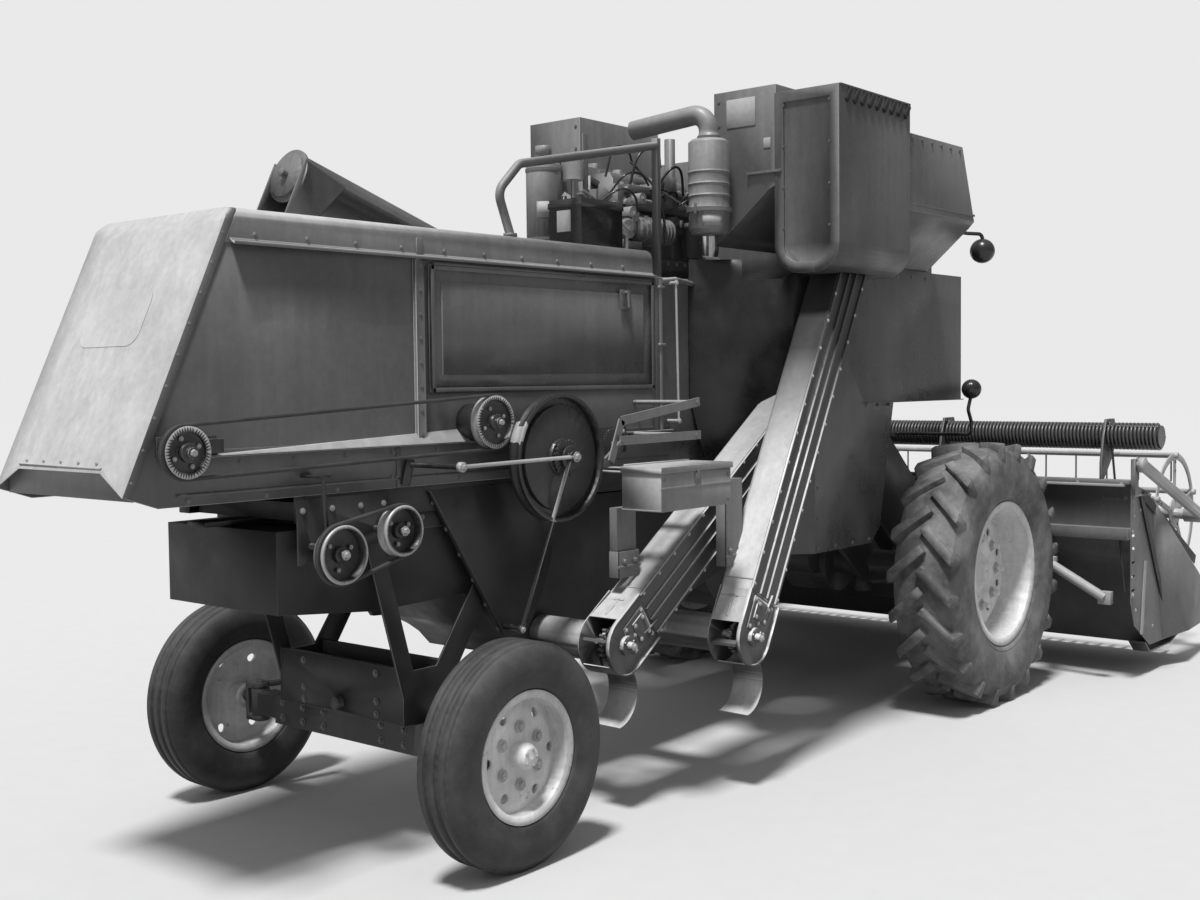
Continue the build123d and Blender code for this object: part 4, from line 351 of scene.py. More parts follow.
# Sunlit weather strip above the ledge: it slopes outwards and grows wider towards the front
ledge_paint = enamel("ledge_paint", 0.45, dust=0.2, dust_grey=0.4, rough=0.45, dents=0.05)
strip = bmesh.new()
for side in (-1, 1):
    inner = side * (BODY_SIDE + 0.5)
    outer = side * (BODY_SIDE + 24)
    ends = []
    for x, tall in ((-860, 3), (195, 44)):
        ends.append([strip.verts.new(at(x, y, z)) for y, z in ((inner, LEDGE_Z + 6), (outer, LEDGE_Z + 6.4),
                                                                (inner, LEDGE_Z + 6 + tall))])
    strip.faces.new(ends[0])
    strip.faces.new(ends[1])
    for i in range(3):
        j = (i + 1) % 3
        strip.faces.new((ends[0][i], ends[0][j], ends[1][j], ends[1][i]))
finished("weather_strip", strip, ledge_paint)

# Stiff pipes and rods at the front of the body's right side, between the door and the elevators
pipe_paint = enamel("pipe_paint", 0.15, painted_sunlit_grey=0.40, dust=0.2, rough=0.35, dents=0.0)
pipes = bmesh.new()
spindle(pipes, (1345, -374, 2032), (1420, -392, 2040), 12)
spindle(pipes, (1420, -392, 2040), (1560, -372, 2030), 11)
spindle(pipes, (1340, -364, 1412), (1340, -364, 2040), 15, 20)
for z in (1470, 1760, 2000):
    bar(pipes, (1320, -384, z), (1362, -360, z + 12), 2)
finished("side_pipes", pipes, pipe_paint)
lift_rod = bmesh.new()
spindle(lift_rod, (1383, -420, 2036), (1396, -420, 1440), 5)
spindle(lift_rod, (1383, -424, 2024), (1383, -362, 2024), 7)
spindle(lift_rod, (1396, -424, 1446), (1396, -362, 1446), 7)
bolt(lift_rod, (1383, -424, 2024), RIGHT, 8, 6)
bolt(lift_rod, (1396, -424, 1446), RIGHT, 8, 6)
finished("side_rod", lift_rod, ledge_paint)

# Door trim: a turned border, a drop handle and its keeper
DOOR_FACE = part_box("walker_door")[0][1] * 1000
door_low, door_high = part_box("walker_door")
DOOR_X0 = (door_low[0] - REAR_AXLE_X) * 1000
DOOR_X1 = (door_high[0] - REAR_AXLE_X) * 1000
trim = bmesh.new()
border = 15
for x0, x1, z0, z1 in ((DOOR_X0, DOOR_X1, 1585, 1585 + border), (DOOR_X0, DOOR_X1, 2010, 2010 + border),
                       (DOOR_X0, DOOR_X0 + border, 1585, 2025), (DOOR_X1 - border, DOOR_X1, 1585, 2025)):
    bar(trim, (x0, DOOR_FACE - 3, z0), (x1, DOOR_FACE + 1, z1), 1.5)
bar(trim, (1060, DOOR_FACE - 3, 1905), (1130, DOOR_FACE + 1, 1985), 1.5)
finished("door_border", trim, door_paint, body="door_walker")
handle = bmesh.new()
spindle(handle, (1095, DOOR_FACE - 14, 1972), (1095, DOOR_FACE - 20, 1912), 6)
spindle(handle, (1095, DOOR_FACE, 1972), (1095, DOOR_FACE - 18, 1972), 8)
for place in row((1072, DOOR_FACE - 3, 1975), (1118, DOOR_FACE - 3, 1915), 2):
    bolt(handle, place, RIGHT, 4, 3)
finished("door_handle", handle, dull_steel, body="door_walker")

# Straw hood and deck cover: lighter enamel with a painted highlight, nearly white on faces that look up and to the
# rear, where the sun falls. Rivets hold the turned edges, bolts hold the cover's sides, and a smooth patch lies in
# the middle of the hood's rear.
hood_paint = enamel("hood_paint", 0.17, painted_sunlit_grey=0.54, dust=0.25, dust_grey=0.5, rough=0.46, dents=0.16, streaks=0.7)
patch_paint = enamel("patch_paint", 0.30, painted_sunlit_grey=0.60, dust=0.1, dust_grey=0.5, rough=0.5, dents=0.05, streaks=0.3)
dress("straw_hood", hood_paint, edge=0.003, worn=bare_edge)
dress("deck_cover", hood_paint, edge=0.002, worn=bare_edge)
HOOD_SLOPE = 0.449
HOOD_TOP_X = -839
HOOD_TOP_Z = 2097
HOOD_HALF = 363


def hood_x(z):
    return HOOD_TOP_X - (HOOD_TOP_Z - z) * HOOD_SLOPE


rivets = bmesh.new()
for side in (-1, 1):
    for z in range(1340, 2080, 92):
        bolt(rivets, (hood_x(z) + 33, side * HOOD_HALF, z), (0, side, 0), 4, 2)
    for x in range(-700, 1300, 200):
        bolt(rivets, (x, side * (HOOD_HALF + 1), 2078), (0, side, 0), 5, 3)
    bar(rivets, (-34, min(side * 363, side * 367), 2056), (-4, max(side * 363, side * 367), 2116), 1)
for y in range(-200, 201, 100):
    bolt(rivets, (hood_x(1392) - 1, y, 1392), REARWARD, 4, 2)
finished("cover_rivets", rivets, hood_paint)

patch = bmesh.new()
bmesh.ops.create_grid(patch, x_segments=1, y_segments=1, size=0.5)
PATCH_HALF_W = 0.165
PATCH_HALF_H = 0.098
bmesh.ops.scale(patch, vec=(2 * PATCH_HALF_W, 2 * PATCH_HALF_H, 1), verts=patch.verts)
bmesh.ops.bevel(patch, geom=patch.verts[:], offset=0.05, offset_type="OFFSET", segments=6, profile=0.5,
                affect="VERTICES", material=-1)
lean = math.atan(HOOD_SLOPE)
stand = Matrix.Rotation(math.radians(-90), 4, "Z") @ Matrix.Rotation(math.radians(90) - lean, 4, "X")
bmesh.ops.transform(patch, matrix=Matrix.Translation(at(hood_x(1829) - 0.6, 0, 1829)) @ stand, verts=patch.verts)
blank = finished("hood_patch", patch, patch_paint, smooth=0)
thick = blank.modifiers.new("thick", "SOLIDIFY")
thick.thickness = 0.0008

# Main frame, axle stand and axles: rolled and folded steel in dark paint, oily and dusty, bolted together.
frame_paint = enamel("frame_paint_dark", 0.022, dust=0.25, dust_grey=0.09, rough=0.50, dents=0.05)
axle_paint = enamel("axle_paint", 0.055, dust=0.30, dust_grey=0.20, rough=0.48, dents=0.05)
dress("main_frame axle_stand cleaning_shoe", frame_paint, worn=dull_steel)
dress("front_axle rear_axle knuckle_left knuckle_right tie_rod lift_cylinders", axle_paint, worn=dull_steel)
frame_bolts = bmesh.new()
for side in (-1, 1):
    for place in row((-260, side * 341, 1150), (500, side * 341, 1150), 7):
        bolt(frame_bolts, place, (0, side, 0), 7, 5)
    for place in row((30, side * 357, 1200), (350, side * 357, 712), 6) + row((420, side * 357, 705),
                                                                             (490, side * 357, 705), 2):
        bolt(frame_bolts, place, (0, side, 0), 7, 5)
    for z in (455, 500, 600):
        bolt(frame_bolts, (-111, side * 200, z), REARWARD, 9, 6)
finished("frame_bolts", frame_bolts, dull_steel)
axle_bolts = bmesh.new()
for side in (-1, 1):
    for place in row((-56, side * 160, 345), (-56, side * 400, 345), 3) + row((-56, side * 160, 400),
                                                                              (-56, side * 400, 400), 3):
        bolt(axle_bolts, place, REARWARD, 10, 8)
finished("axle_bolts", axle_bolts, dull_steel)

# Wheels: pressed rims in pale enamel with rust at the seams, cross-ply tyres of greyed, dusty rubber. The
# nuts are plain hexagons, and fine moulded rings run round the sidewalls.
rim_paint = enamel("rim_enamel", 0.80, dust=0.35, dust_grey=0.35, rough=0.40, dents=0.03, streaks=0.9, chips=0.03)
hub_paint = enamel("hub_enamel", 0.50, dust=0.40, dust_grey=0.28, rough=0.48, dents=0.02, chips=0.08)
dress("front_rim_left front_rim_right rear_rim_left rear_rim_right", rim_paint, edge=0.002)


def rubber(name, grey, dust, bloom_grey=0.20):
    """Old tyre rubber: grey bloom, dust in the hollows and a fine moulded grain."""
    material, shader, add, links = paint_nodes(name)
    place = add("TexCoord").outputs["Object"]
    bloom = add("TexNoise", {"Vector": place, "Scale": 4.0, "Detail": 8.0, "Roughness": 0.7})
    fine = add("TexNoise", {"Vector": place, "Scale": 90.0, "Detail": 4.0})
    shade = add("MapRange", {"Value": fine.outputs["Fac"], "To Min": grey * 0.8, "To Max": grey * 1.2})
    cover = add("MapRange", {"Value": bloom.outputs["Fac"], "From Min": 0.40, "From Max": 0.70, "To Max": dust})
    tone = add("Mix", {"Factor": cover.outputs[0], "A": shade.outputs[0], "B": bloom_grey}, data_type="FLOAT")
    colour = add("CombineColor", {0: tone.outputs[0], 1: tone.outputs[0], 2: tone.outputs[0]})
    links.new(colour.outputs[0], shader.inputs["Base Color"])
    gloss = add("MapRange", {"Value": bloom.outputs["Fac"], "To Min": 0.55, "To Max": 0.85})
    links.new(gloss.outputs[0], shader.inputs["Roughness"])
    skin = add("Bump", {"Height": fine.outputs["Fac"], "Strength": 0.25, "Distance": 0.0015})
    links.new(skin.outputs[0], shader.inputs["Normal"])
    return material


def hoop(mesh, centre, radius, thick, steps=72):
    """A moulded ring of round section round an axle that lies across the machine."""
    x, y, z = centre
    section = bmesh.ops.create_circle(mesh, segments=6, radius=thick / 1000,
                                      matrix=Matrix.Translation(at(x + radius, y, z)))["verts"]
    edges = list({e for v in section for e in v.link_edges})
    bmesh.ops.spin(mesh, geom=edges, cent=at(x, y, z), axis=(0, 1, 0), angle=math.tau, steps=steps,
                   use_merge=True, use_duplicate=False)


front_rubber = rubber("front_rubber", 0.085, 0.75, 0.36)
rear_rubber = rubber("rear_rubber", 0.030, 0.35, 0.20)
dress("front_tyre_left front_tyre_right", front_rubber, edge=0.004)
dress("rear_tyre_left rear_tyre_right", rear_rubber, edge=0.002)
WHEELBASE = 3206
FRONT_AXLE_Z = 645
REAR_AXLE_Z = 381
for side, hand in ((-1, "right"), (1, "left")):
    outward = (0, side, 0)
    nuts = bmesh.new()
    for i in range(8):
        a = i * math.tau / 8 + (0 if side < 0 else math.radians(11.25))
        bolt(nuts, (WHEELBASE + 168 * math.cos(a), side * 951, FRONT_AXLE_Z - 168 * math.sin(a)), outward, 21, 16)
    for i in range(6):
        a = (i + 0.5) * math.tau / 6
        bolt(nuts, (WHEELBASE + 78 * math.cos(a), side * 936, FRONT_AXLE_Z + 78 * math.sin(a)), outward, 11, 12)
    finished("front_nuts_" + hand, nuts, hub_paint, body="wheel_front_" + hand)
    rings = bmesh.new()
    for radius, y in ((470, 1098), (380, 1086)):
        hoop(rings, (WHEELBASE, side * y, FRONT_AXLE_Z), radius, 3)
    finished("front_rings_" + hand, rings, front_rubber, body="wheel_front_" + hand)
    nuts = bmesh.new()
    for i in range(6):
        a = math.radians(30 + i * 60)
        bolt(nuts, (98 * math.cos(a), side * 789, REAR_AXLE_Z - 98 * math.sin(a)), outward, 14, 11)
    for i in range(5):
        a = i * math.tau / 5
        bolt(nuts, (27 * math.cos(a), side * 838, REAR_AXLE_Z + 27 * math.sin(a)), outward, 4, 4)
    finished("rear_nuts_" + hand, nuts, hub_paint, body="wheel_rear_" + hand)

# Drives on the right side: cast pulleys with bright worn rims on the body's side, rubber belts, and the big
# pulley that shakes the shoe through two thin rods.
pulley_paint = enamel("pulley_paint", 0.030, dust=0.2, dust_grey=0.14, rough=0.34, dents=0.02)
rubbed_rim = steel("rubbed_rim", 0.50, rough=0.38, metallic=0.2, rust=0.30)
belt_rubber = rubber("belt_rubber", 0.030, 0.25)
dress("shoe_drive lower_drive walker_drive countershaft", pulley_paint, edge=0.0022, worn=bare_edge)
DISCS = ((-1045, 1428, 76), (210, 1477, 94), (500, 1338, 236), (-486, 1078, 95), (-234, 1132, 85))


def rubbed(x, y, z, normal):
    """The belts' rims, the rods and the hubs' middles, which rubbing and oil keep bright."""
    for disc_x, disc_z, radius in DISCS:
        off = math.hypot(x - disc_x, z - disc_z)
        lip = 4 if radius > 200 else 9
        if radius - lip < off < radius + 6 and y < -450 and (radius < 200 or normal.y < -0.5):
            return True
    off = math.hypot(x - 500, z - 1338)
    if 100 < off and y < -555:
        return True
    return False


paint_faces("shoe_drive lower_drive walker_drive", rubbed_rim, rubbed)
dress("drive_belts", belt_rubber, edge=0.001)
hubs = bmesh.new()
for x, z, y, ring, count in ((-1045, 1428, -488, 44, 4), (210, 1477, -488, 52, 4), (-486, 1078, -474, 50, 3),
                             (-234, 1132, -474, 45, 3)):
    for i in range(count):
        a = i * math.tau / count + 0.4
        bolt(hubs, (x + ring * math.cos(a), y, z + ring * math.sin(a)), RIGHT, 5, 4)
    bolt(hubs, (x, y - 30, z), RIGHT, 11, 12)
bolt(hubs, (485, -634, 1344), RIGHT, 13, 12)
bolt(hubs, (-84, -629, 1338), RIGHT, 9, 8)
bolt(hubs, (376, -457, 712), RIGHT, 9, 8)
for x in (-1035, -960, -900):
    bolt(hubs, (x, -369, 1440), RIGHT, 7, 5)
for x in (-540, -420, -300, -200):
    bolt(hubs, (x, -361, 1215), RIGHT, 7, 5)
for x in (870, 960, 1050):
    bolt(hubs, (x, -397, 1415), RIGHT, 6, 4)
finished("drive_bolts", hubs, bare_edge)

# Bent strap and flat bar that guard the drives above the tool box, on three round stays, set in far enough
# that the lid of the tool box opens in front of them.
guard_paint = enamel("guard_paint", 0.16, painted_sunlit_grey=0.35, dust=0.2, rough=0.4, dents=0.03)
guard = bmesh.new()
for a, b in (((1178, -680, 1531), (687, -680, 1469)), ((687, -680, 1469), (625, -680, 1324)),
             ((1165, -694, 1400), (663, -694, 1397))):
    start = at(*a)
    end = at(*b)
    span = end - start
    turn = span.to_track_quat("X", "Z").to_matrix().to_4x4()
    bmesh.ops.create_cube(guard, size=1, matrix=Matrix.Translation((start + end) / 2) @ turn
                          @ Matrix.Diagonal((span.length + 0.006, 0.006, 0.034, 1)))
spindle(guard, (1140, -699, 1400), (1140, -362, 1400), 9)
spindle(guard, (1168, -685, 1529), (1168, -362, 1529), 9)
spindle(guard, (668, -697, 1398), (640, -640, 1330), 7)
finished("drive_guard", guard, guard_paint)

# Elevators: folded steel legs with bolted flanges, worn bright along the edges, and open boots at the foot
# whose curved clean-out sheets hang down.
# The elevator paint holds painted light: a painted sun glare makes faces that look up and to the rear nearly white,
# and painted shade turns the legs near black from 1.25 m to 1.75 m up, under the tank.
elevator_paint = enamel("elevator_paint_dark", 0.070, painted_sunlit_grey=0.66, dust=0.15, dust_grey=0.28, rough=0.36,
                        painted_shade=((0.0, 0.0, 1.0), 1.25, 1.75, 0.05))
elevator_edge = steel("elevator_edge", 0.50, rough=0.5, rust=0.2)
dress("grain_elevator tailings_elevator", elevator_paint, edge=0.0032, worn=elevator_edge)
dress("grain_door tailings_door", elevator_paint, edge=0.0016, worn=elevator_edge)


def leg_point(foot, run, rise, y):
    """A place along an elevator's leg: run up the leg from its lower shaft, rise square to it."""
    x, z, slope = foot
    a = math.radians(slope)
    return (x + run * math.cos(a) - rise * math.sin(a), y, z + run * math.sin(a) + rise * math.cos(a))


TAIL_FOOT = (650, 640, 34.0)
GRAIN_FOOT = (1195, 612, 61.5)
leg_bolts = bmesh.new()
for foot, y, length in ((TAIL_FOOT, -724, 1500), (GRAIN_FOOT, -924, 1660)):
    for i in range(12):
        for rise in (-92, 92):
            bolt(leg_bolts, leg_point(foot, 190 + i * (length - 220) / 11, rise, y), RIGHT, 5, 4)
    for run, rise in ((30, -52), (30, 50), (140, -64), (140, 54), (58, 0)):
        bolt(leg_bolts, leg_point(foot, run, rise, y - 1), RIGHT, 6, 5)
    bolt(leg_bolts, leg_point(foot, 0, 0, y - 36), RIGHT, 10, 8)
    for run, rise in ((76, -34), (128, -40), (76, 30), (128, 30)):
        bolt(leg_bolts, leg_point(foot, run, rise, y - 6), RIGHT, 6, 5)
for foot, y, side_y in ((TAIL_FOOT, -650, -724), (GRAIN_FOOT, -850, -924)):
    x, z, slope = foot
    a = math.radians(slope)
    place = Matrix.Translation(at(*leg_point(foot, 95, 104, y))) @ Matrix.Rotation(-a, 4, "Y")
    bmesh.ops.create_cube(leg_bolts, size=1, matrix=place @ Matrix.Diagonal((0.074, 0.010, 0.005, 1)))
    bmesh.ops.create_cube(leg_bolts, size=1, matrix=place @ Matrix.Translation((0.034, 0, 0))
                          @ Matrix.Diagonal((0.008, 0.046, 0.005, 1)))
    spindle(leg_bolts, leg_point(foot, 40, 108, y), leg_point(foot, 92, 108, y), 6, 12)
    for run in (128, 205):
        lip = Matrix.Translation(at(*leg_point(foot, run, 101, y))) @ Matrix.Rotation(-a, 4, "Y")
        bmesh.ops.create_cube(leg_bolts, size=1, matrix=lip @ Matrix.Diagonal((0.004, 0.130, 0.004, 1)))
finished("elevator_bolts", leg_bolts, elevator_edge)

# Wooden-slat chain just visible in each open boot: side links and cross slats round the lower sprocket
chain = bmesh.new()
for (x, z, slope), y in ((TAIL_FOOT, -650), (GRAIN_FOOT, -850)):
    for i in range(9):
        a = math.radians(slope + 90 + i * 22)
        spindle(chain, (x + 66 * math.cos(a), y - 9, z + 66 * math.sin(a)),
                (x + 66 * math.cos(a), y + 9, z + 66 * math.sin(a)), 6, 8)
    for i in (1, 5):
        a = math.radians(slope + 100 + i * 30)
        place = Matrix.Translation(at(x + 84 * math.cos(a), y, z + 84 * math.sin(a)))
        bmesh.ops.create_cube(chain, size=1, matrix=place @ Matrix.Rotation(-a, 4, "Y")
                              @ Matrix.Diagonal((0.036, 0.108, 0.012, 1)))
finished("elevator_chain", chain, dull_steel)

# Sheet posts that stand on the two boots and carry their upper covers, each pinched by a pair of bolts
post_paint = enamel("post_paint", 0.16, painted_sunlit_grey=0.34, dust=0.25, rough=0.42, dents=0.05)
posts = bmesh.new()
for x, y, low, high, wide in ((1240, -800, 880, 1225, 58), (770, -640, 876, 975, 62)):
    bar(posts, (x - wide, y - 4, low), (x + wide, y + 1, high), 1)
    bar(posts, (x - wide, y - 4, low), (x - wide + 3, y + 44, high), 1)
    bar(posts, (x + wide - 3, y - 4, low), (x + wide, y + 44, high), 1)
    bar(posts, (x - wide - 4, y - 8, low + 36), (x + wide + 4, y - 3, low + 46), 1)
    for turn_x in (-32, 32):
        bolt(posts, (x + turn_x, y - 7, low + 62), RIGHT, 9, 9)
bar(posts, (712, -632, 970), (828, -596, 1140), 2)
finished("boot_posts", posts, post_paint)

# Tool box: pressed tray with a lipped lid that hinges at the back, a turned bead and a spring latch
box_paint = enamel("box_paint", 0.25, painted_sunlit_grey=0.52, dust=0.25, dust_grey=0.35, rough=0.42, dents=0.10, chips=0.02)
dress("tool_box tool_box_lid", box_paint, edge=0.002, worn=bare_edge)
latch = bmesh.new()
bar(latch, (825, -917, 1240), (857, -911, 1278), 1.5)
bar(latch, (834, -921, 1246), (848, -915, 1300), 1.5)
for x in (640, 1040):
    for z in (1165, 1260):
        bolt(latch, (x, -912, z), RIGHT, 4, 2)
finished("tool_box_latch", latch, dull_steel)
bead = bmesh.new()
bar(bead, (618, -914, 1225), (1062, -911, 1233), 1)
bar(bead, (617, -914, 1146), (620, -732, 1152), 1)
finished("tool_box_bead", bead, box_paint)

# Grain tank, lid and elevator housing: folded sheet in enamel, painted paler as a painted highlight on faces that
# look up and to the rear, with lap seams and bolts, and small plain plates that hold down its clips.
tank_paint = enamel("tank_paint", 0.125, painted_sunlit_grey=0.22, rough=0.34, dents=0.22, streaks=0.8)
bulge_paint = enamel("bulge_paint", 0.085, painted_sunlit_grey=0.20, rough=0.36, dents=0.22, streaks=0.8)
dress("grain_tank tank_lid", tank_paint, edge=0.002, worn=bare_edge)
dress("elevator_housing", bulge_paint, edge=0.0028, worn=bare_edge)
TANK_REAR = 1720
TANK_MID = 2330
BULGE_Y = -1010
BULGE_TOP = 2820
tank_trim = bmesh.new()
bar(tank_trim, (TANK_MID + 4, -1004, 2384), (3010, -999, 2394), 1)
bar(tank_trim, (TANK_MID + 4, 999, 2384), (3010, 1004, 2394), 1)
for side in (-1, 1):
    for place in row((TANK_MID + 40, side * 1001, 2680), (2850, side * 1001, 2680), 6):
        bolt(tank_trim, place, (0, side, 0), 6, 4)
    for place in row((TANK_MID + 18, side * 1001, 2420), (TANK_MID + 18, side * 1001, 2640), 3):
        bolt(tank_trim, place, (0, side, 0), 6, 4)
    for place in row((1719, side * 410, 2300), (1719, side * 410, 2820), 6):
        bolt(tank_trim, place, REARWARD, 5, 3)
for place in row((2350, -500, 2708), (2820, -500, 2708), 4) + row((2350, 500, 2708), (2820, 500, 2708), 4):
    bolt(tank_trim, place, (0, 0, 1), 6, 3)
finished("tank_trim", tank_trim, tank_paint)

wing_plate = bmesh.new()
bar(wing_plate, (1716.5, -600, 2700), (1721, -452, 2822), 3)
bar(wing_plate, (1716.5, -676, 2596), (1721, -640, 2640), 3)
finished("wing_plate", wing_plate, patch_paint)
clip = bmesh.new()
bar(clip, (1704, -735, 2488), (1721, -560, 2500), 2)
for y in (-728, -650, -570):
    bolt(clip, (1704, y, 2494), REARWARD, 6, 5)
finished("wing_clip", clip, dull_steel)

# Louvres along the top of the housing's side: each a short slit with its lip pushed out, so that it sheds rain
louvres = bmesh.new()
for i in range(9):
    x = TANK_REAR + 46 + i * 64
    start = at(x, BULGE_Y - 1, BULGE_TOP - 66)
    end = at(x + 40, BULGE_Y - 1, BULGE_TOP - 8)
    span = end - start
    turn = span.to_track_quat("X", "Y").to_matrix().to_4x4()
    shell = bmesh.ops.create_cube(louvres, size=1, matrix=Matrix.Translation((start + end) / 2) @ turn
                                  @ Matrix.Diagonal((span.length, 0.026, 0.020, 1)))["verts"]
    edges = list({e for v in shell for e in v.link_edges})
    bmesh.ops.bevel(louvres, geom=edges, offset=0.008, offset_type="OFFSET", segments=2, profile=0.5,
                    affect="EDGES", clamp_overlap=True, material=-1)
# The louvre lips and the shield's slots are painted near black: painted shade for the dark inside each open slit.
painted_slit_shade = steel("painted_slit_shade", 0.012, rough=0.7, rust=0.2)
finished("housing_louvres", louvres, painted_slit_shade)
bulge_trim = bmesh.new()
for y in (-745, -965):
    for z in (2250, 2420, 2590, 2760):
        bolt(bulge_trim, (1709, y, z), REARWARD, 4, 2)
bar(bulge_trim, (TANK_REAR, BULGE_Y - 4, BULGE_TOP - 6), (TANK_MID, BULGE_Y + 2, BULGE_TOP + 2), 1.5)
finished("housing_trim", bulge_trim, bulge_paint)

# Side shields: big flat sheets with a drip ledge, folded in at the rear, stiffened and bolted, with a slot row
# Painted shade: the shield paint turns near black behind a slanted line across each rear fold, as shade under the
# tank.
SHADE_LINE = 1.583
shield_paint = enamel("shield_paint", 0.075, painted_sunlit_grey=0.20, rough=0.26, dents=0.30, streaks=0.9,
                      painted_shade=((-1.0, 0.0, 0.22), -REAR_AXLE_X - SHADE_LINE - 0.03, -REAR_AXLE_X - SHADE_LINE + 0.04,
                             0.012))
dress("side_shield_right side_shield_left", shield_paint, edge=0.002, worn=bare_edge)
shield_trim = bmesh.new()
for side in (-1, 1):
    face = side * 754
    outward = (0, side, 0)
    for place in row((2400, side * 755, 1490), (2620, side * 755, 1490), 3) + row((1960, face, 870),
                                                                                (2420, face, 870), 4):
        bolt(shield_trim, place, outward, 6, 4)
    for place in row((1965, face, 1000), (1965, face, 2080), 9) + row((2400, face, 2100), (3000, face, 2100), 5):
        bolt(shield_trim, place, outward, 6, 4)
finished("shield_bolts", shield_trim, dull_steel)
# Slot row down each rear fold: small near-black blocks, painted shade for the open slots.
vents = bmesh.new()
for side in (-1, 1):
    for i in range(7):
        z = 880 + i * 56
        x = 1800 + i * 6
        y = side * (x - 1940 + 755)
        place = Matrix.Translation(at(x, y, z)) @ Matrix.Rotation(math.radians(-45 * side), 4, "Z")
        bmesh.ops.create_cube(vents, size=1, matrix=place @ Matrix.Rotation(math.radians(6), 4, "Y")
                              @ Matrix.Diagonal((0.007, 0.004, 0.036, 1)))
finished("shield_vents", vents, painted_slit_shade)

# Operator's platform and ladder: chequered floor on a folded frame, round rails, seat, wheel and levers
platform_paint = enamel("platform_paint", 0.075, painted_sunlit_grey=0.15, dust=0.3, dust_grey=0.25, rough=0.42, chips=0.04)
dress("operator_platform ladder", platform_paint, edge=0.002, worn=bare_edge)
control_paint = enamel("control_paint", 0.030, dust=0.1, rough=0.30, dents=0.0)
dress("steering_column", control_paint, edge=0.001)
tread = bmesh.new()
for i in range(11):
    for j in range(18):
        lean_deg = 45 if (i + j) % 2 else -45
        place = Matrix.Translation(at(3400 + i * 34, 130 + j * 40, 1580.6))
        bmesh.ops.create_cube(tread, size=1, matrix=place @ Matrix.Rotation(math.radians(lean_deg), 4, "Z")
                              @ Matrix.Diagonal((0.026, 0.006, 0.002, 1)))
finished("floor_pattern", tread, platform_paint)
knobs = bmesh.new()
for y in (640, 700):
    place = Matrix.Translation(at(3538, y, 2112)) @ Matrix.Diagonal((1, 1, 1.2, 1))
    bmesh.ops.create_uvsphere(knobs, u_segments=16, v_segments=10, radius=0.022, matrix=place)
spindle(knobs, (3556, 300, 2262), (3553, 300, 2280), 42, 20, 0.8)
finished("lever_knobs", knobs, control_paint)

# Seat: two foam pads under black leathercloth with piped edges, on a sheet pedestal
leathercloth = rubber("leathercloth", 0.030, 0.12)
seat_low, seat_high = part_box("seat")


def pad(name, low, high, crown_axis):
    """A crowned cushion between two corners; it swells along crown_axis and its sides pull in at the corners."""
    low = at(*low)
    high = at(*high)
    centre = (low + high) / 2
    half = (high - low) / 2
    mesh = bmesh.new()
    bmesh.ops.create_cube(mesh, size=2)
    bmesh.ops.subdivide_edges(mesh, edges=mesh.edges[:], cuts=7, use_grid_fill=True)
    for vertex in mesh.verts:
        p = vertex.co
        flat = [i for i in range(3) if i != crown_axis]
        edge = max(abs(p[flat[0]]), abs(p[flat[1]]))
        corner = abs(p[flat[0]] * p[flat[1]])
        round_off = 1 - 0.34 * edge ** 4
        p[crown_axis] *= round_off
        for i in flat:
            p[i] *= 1 - 0.05 * corner ** 2 - 0.05 * abs(p[crown_axis]) ** 3
        channel = 0.04 * max(0.0, 1 - abs((p[1] * 3) % 2 - 1) * 6)
        if abs(p[crown_axis]) > 0.6 * round_off:
            p[crown_axis] *= 1 - channel
    bmesh.ops.scale(mesh, vec=half, verts=mesh.verts)
    bmesh.ops.translate(mesh, vec=centre, verts=mesh.verts)
    cushion = finished(name, mesh, leathercloth, smooth=80)
    finer = cushion.modifiers.new("finer", "SUBSURF")
    finer.levels = 2
    finer.render_levels = 2
    return cushion


cushion = pad("seat_cushion", (3145, 88, 1895), (3475, 512, 1968), 2)
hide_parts("seat")
pad("seat_back", (3112, 88, 1972), (3168, 512, 2326), 0)
pedestal = bmesh.new()
bar(pedestal, (3205, 205, 1581), (3415, 395, 1600), 4)
bar(pedestal, (3240, 240, 1598), (3380, 360, 1860), 12)
bar(pedestal, (3160, 110, 1862), (3460, 490, 1894), 6)
bar(pedestal, (3104, 280, 1880), (3112, 320, 2280), 2)
for place in ((3220, 220, 1600), (3400, 220, 1600), (3220, 380, 1600), (3400, 380, 1600)):
    bolt(pedestal, place, (0, 0, 1), 8, 6)
finished("seat_pedestal", pedestal, platform_paint)

# Engine: grey cast iron and pressed covers, oily and dusty; spark plugs with their leads drawn as stiff runs,
# bright head nuts, and a belt from crank to fan and dynamo.
engine_paint = enamel("engine_enamel", 0.13, painted_sunlit_grey=0.24, dust=0.3, dust_grey=0.3, rough=0.42, dents=0.03, chips=0.06)
rail_paint = enamel("rail_enamel", 0.13, painted_sunlit_grey=0.34, dust=0.2, rough=0.30, dents=0.0)
black_paint = enamel("black_enamel", 0.022, painted_sunlit_grey=0.040, dust=0.12, dust_grey=0.25, rough=0.20, dents=0.02)
dress("engine", engine_paint, edge=0.003, worn=bare_edge)
dress("radiator", engine_paint, edge=0.002, worn=bare_edge)
dress("guard_rail", rail_paint, edge=0.001)
ENGINE_Y = 30
ENGINE_Z = 2050
fitting_steel = steel("fitting_steel", 0.45, rough=0.30, metallic=0.4, rust=0.5)
engine_bits = bmesh.new()
for x in range(1460, 2020, 70):
    for y in (-104, 88):
        spindle(engine_bits, (x, ENGINE_Y + y, ENGINE_Z + 425), (x, ENGINE_Y + y, ENGINE_Z + 436), 9, 6, 0.9)
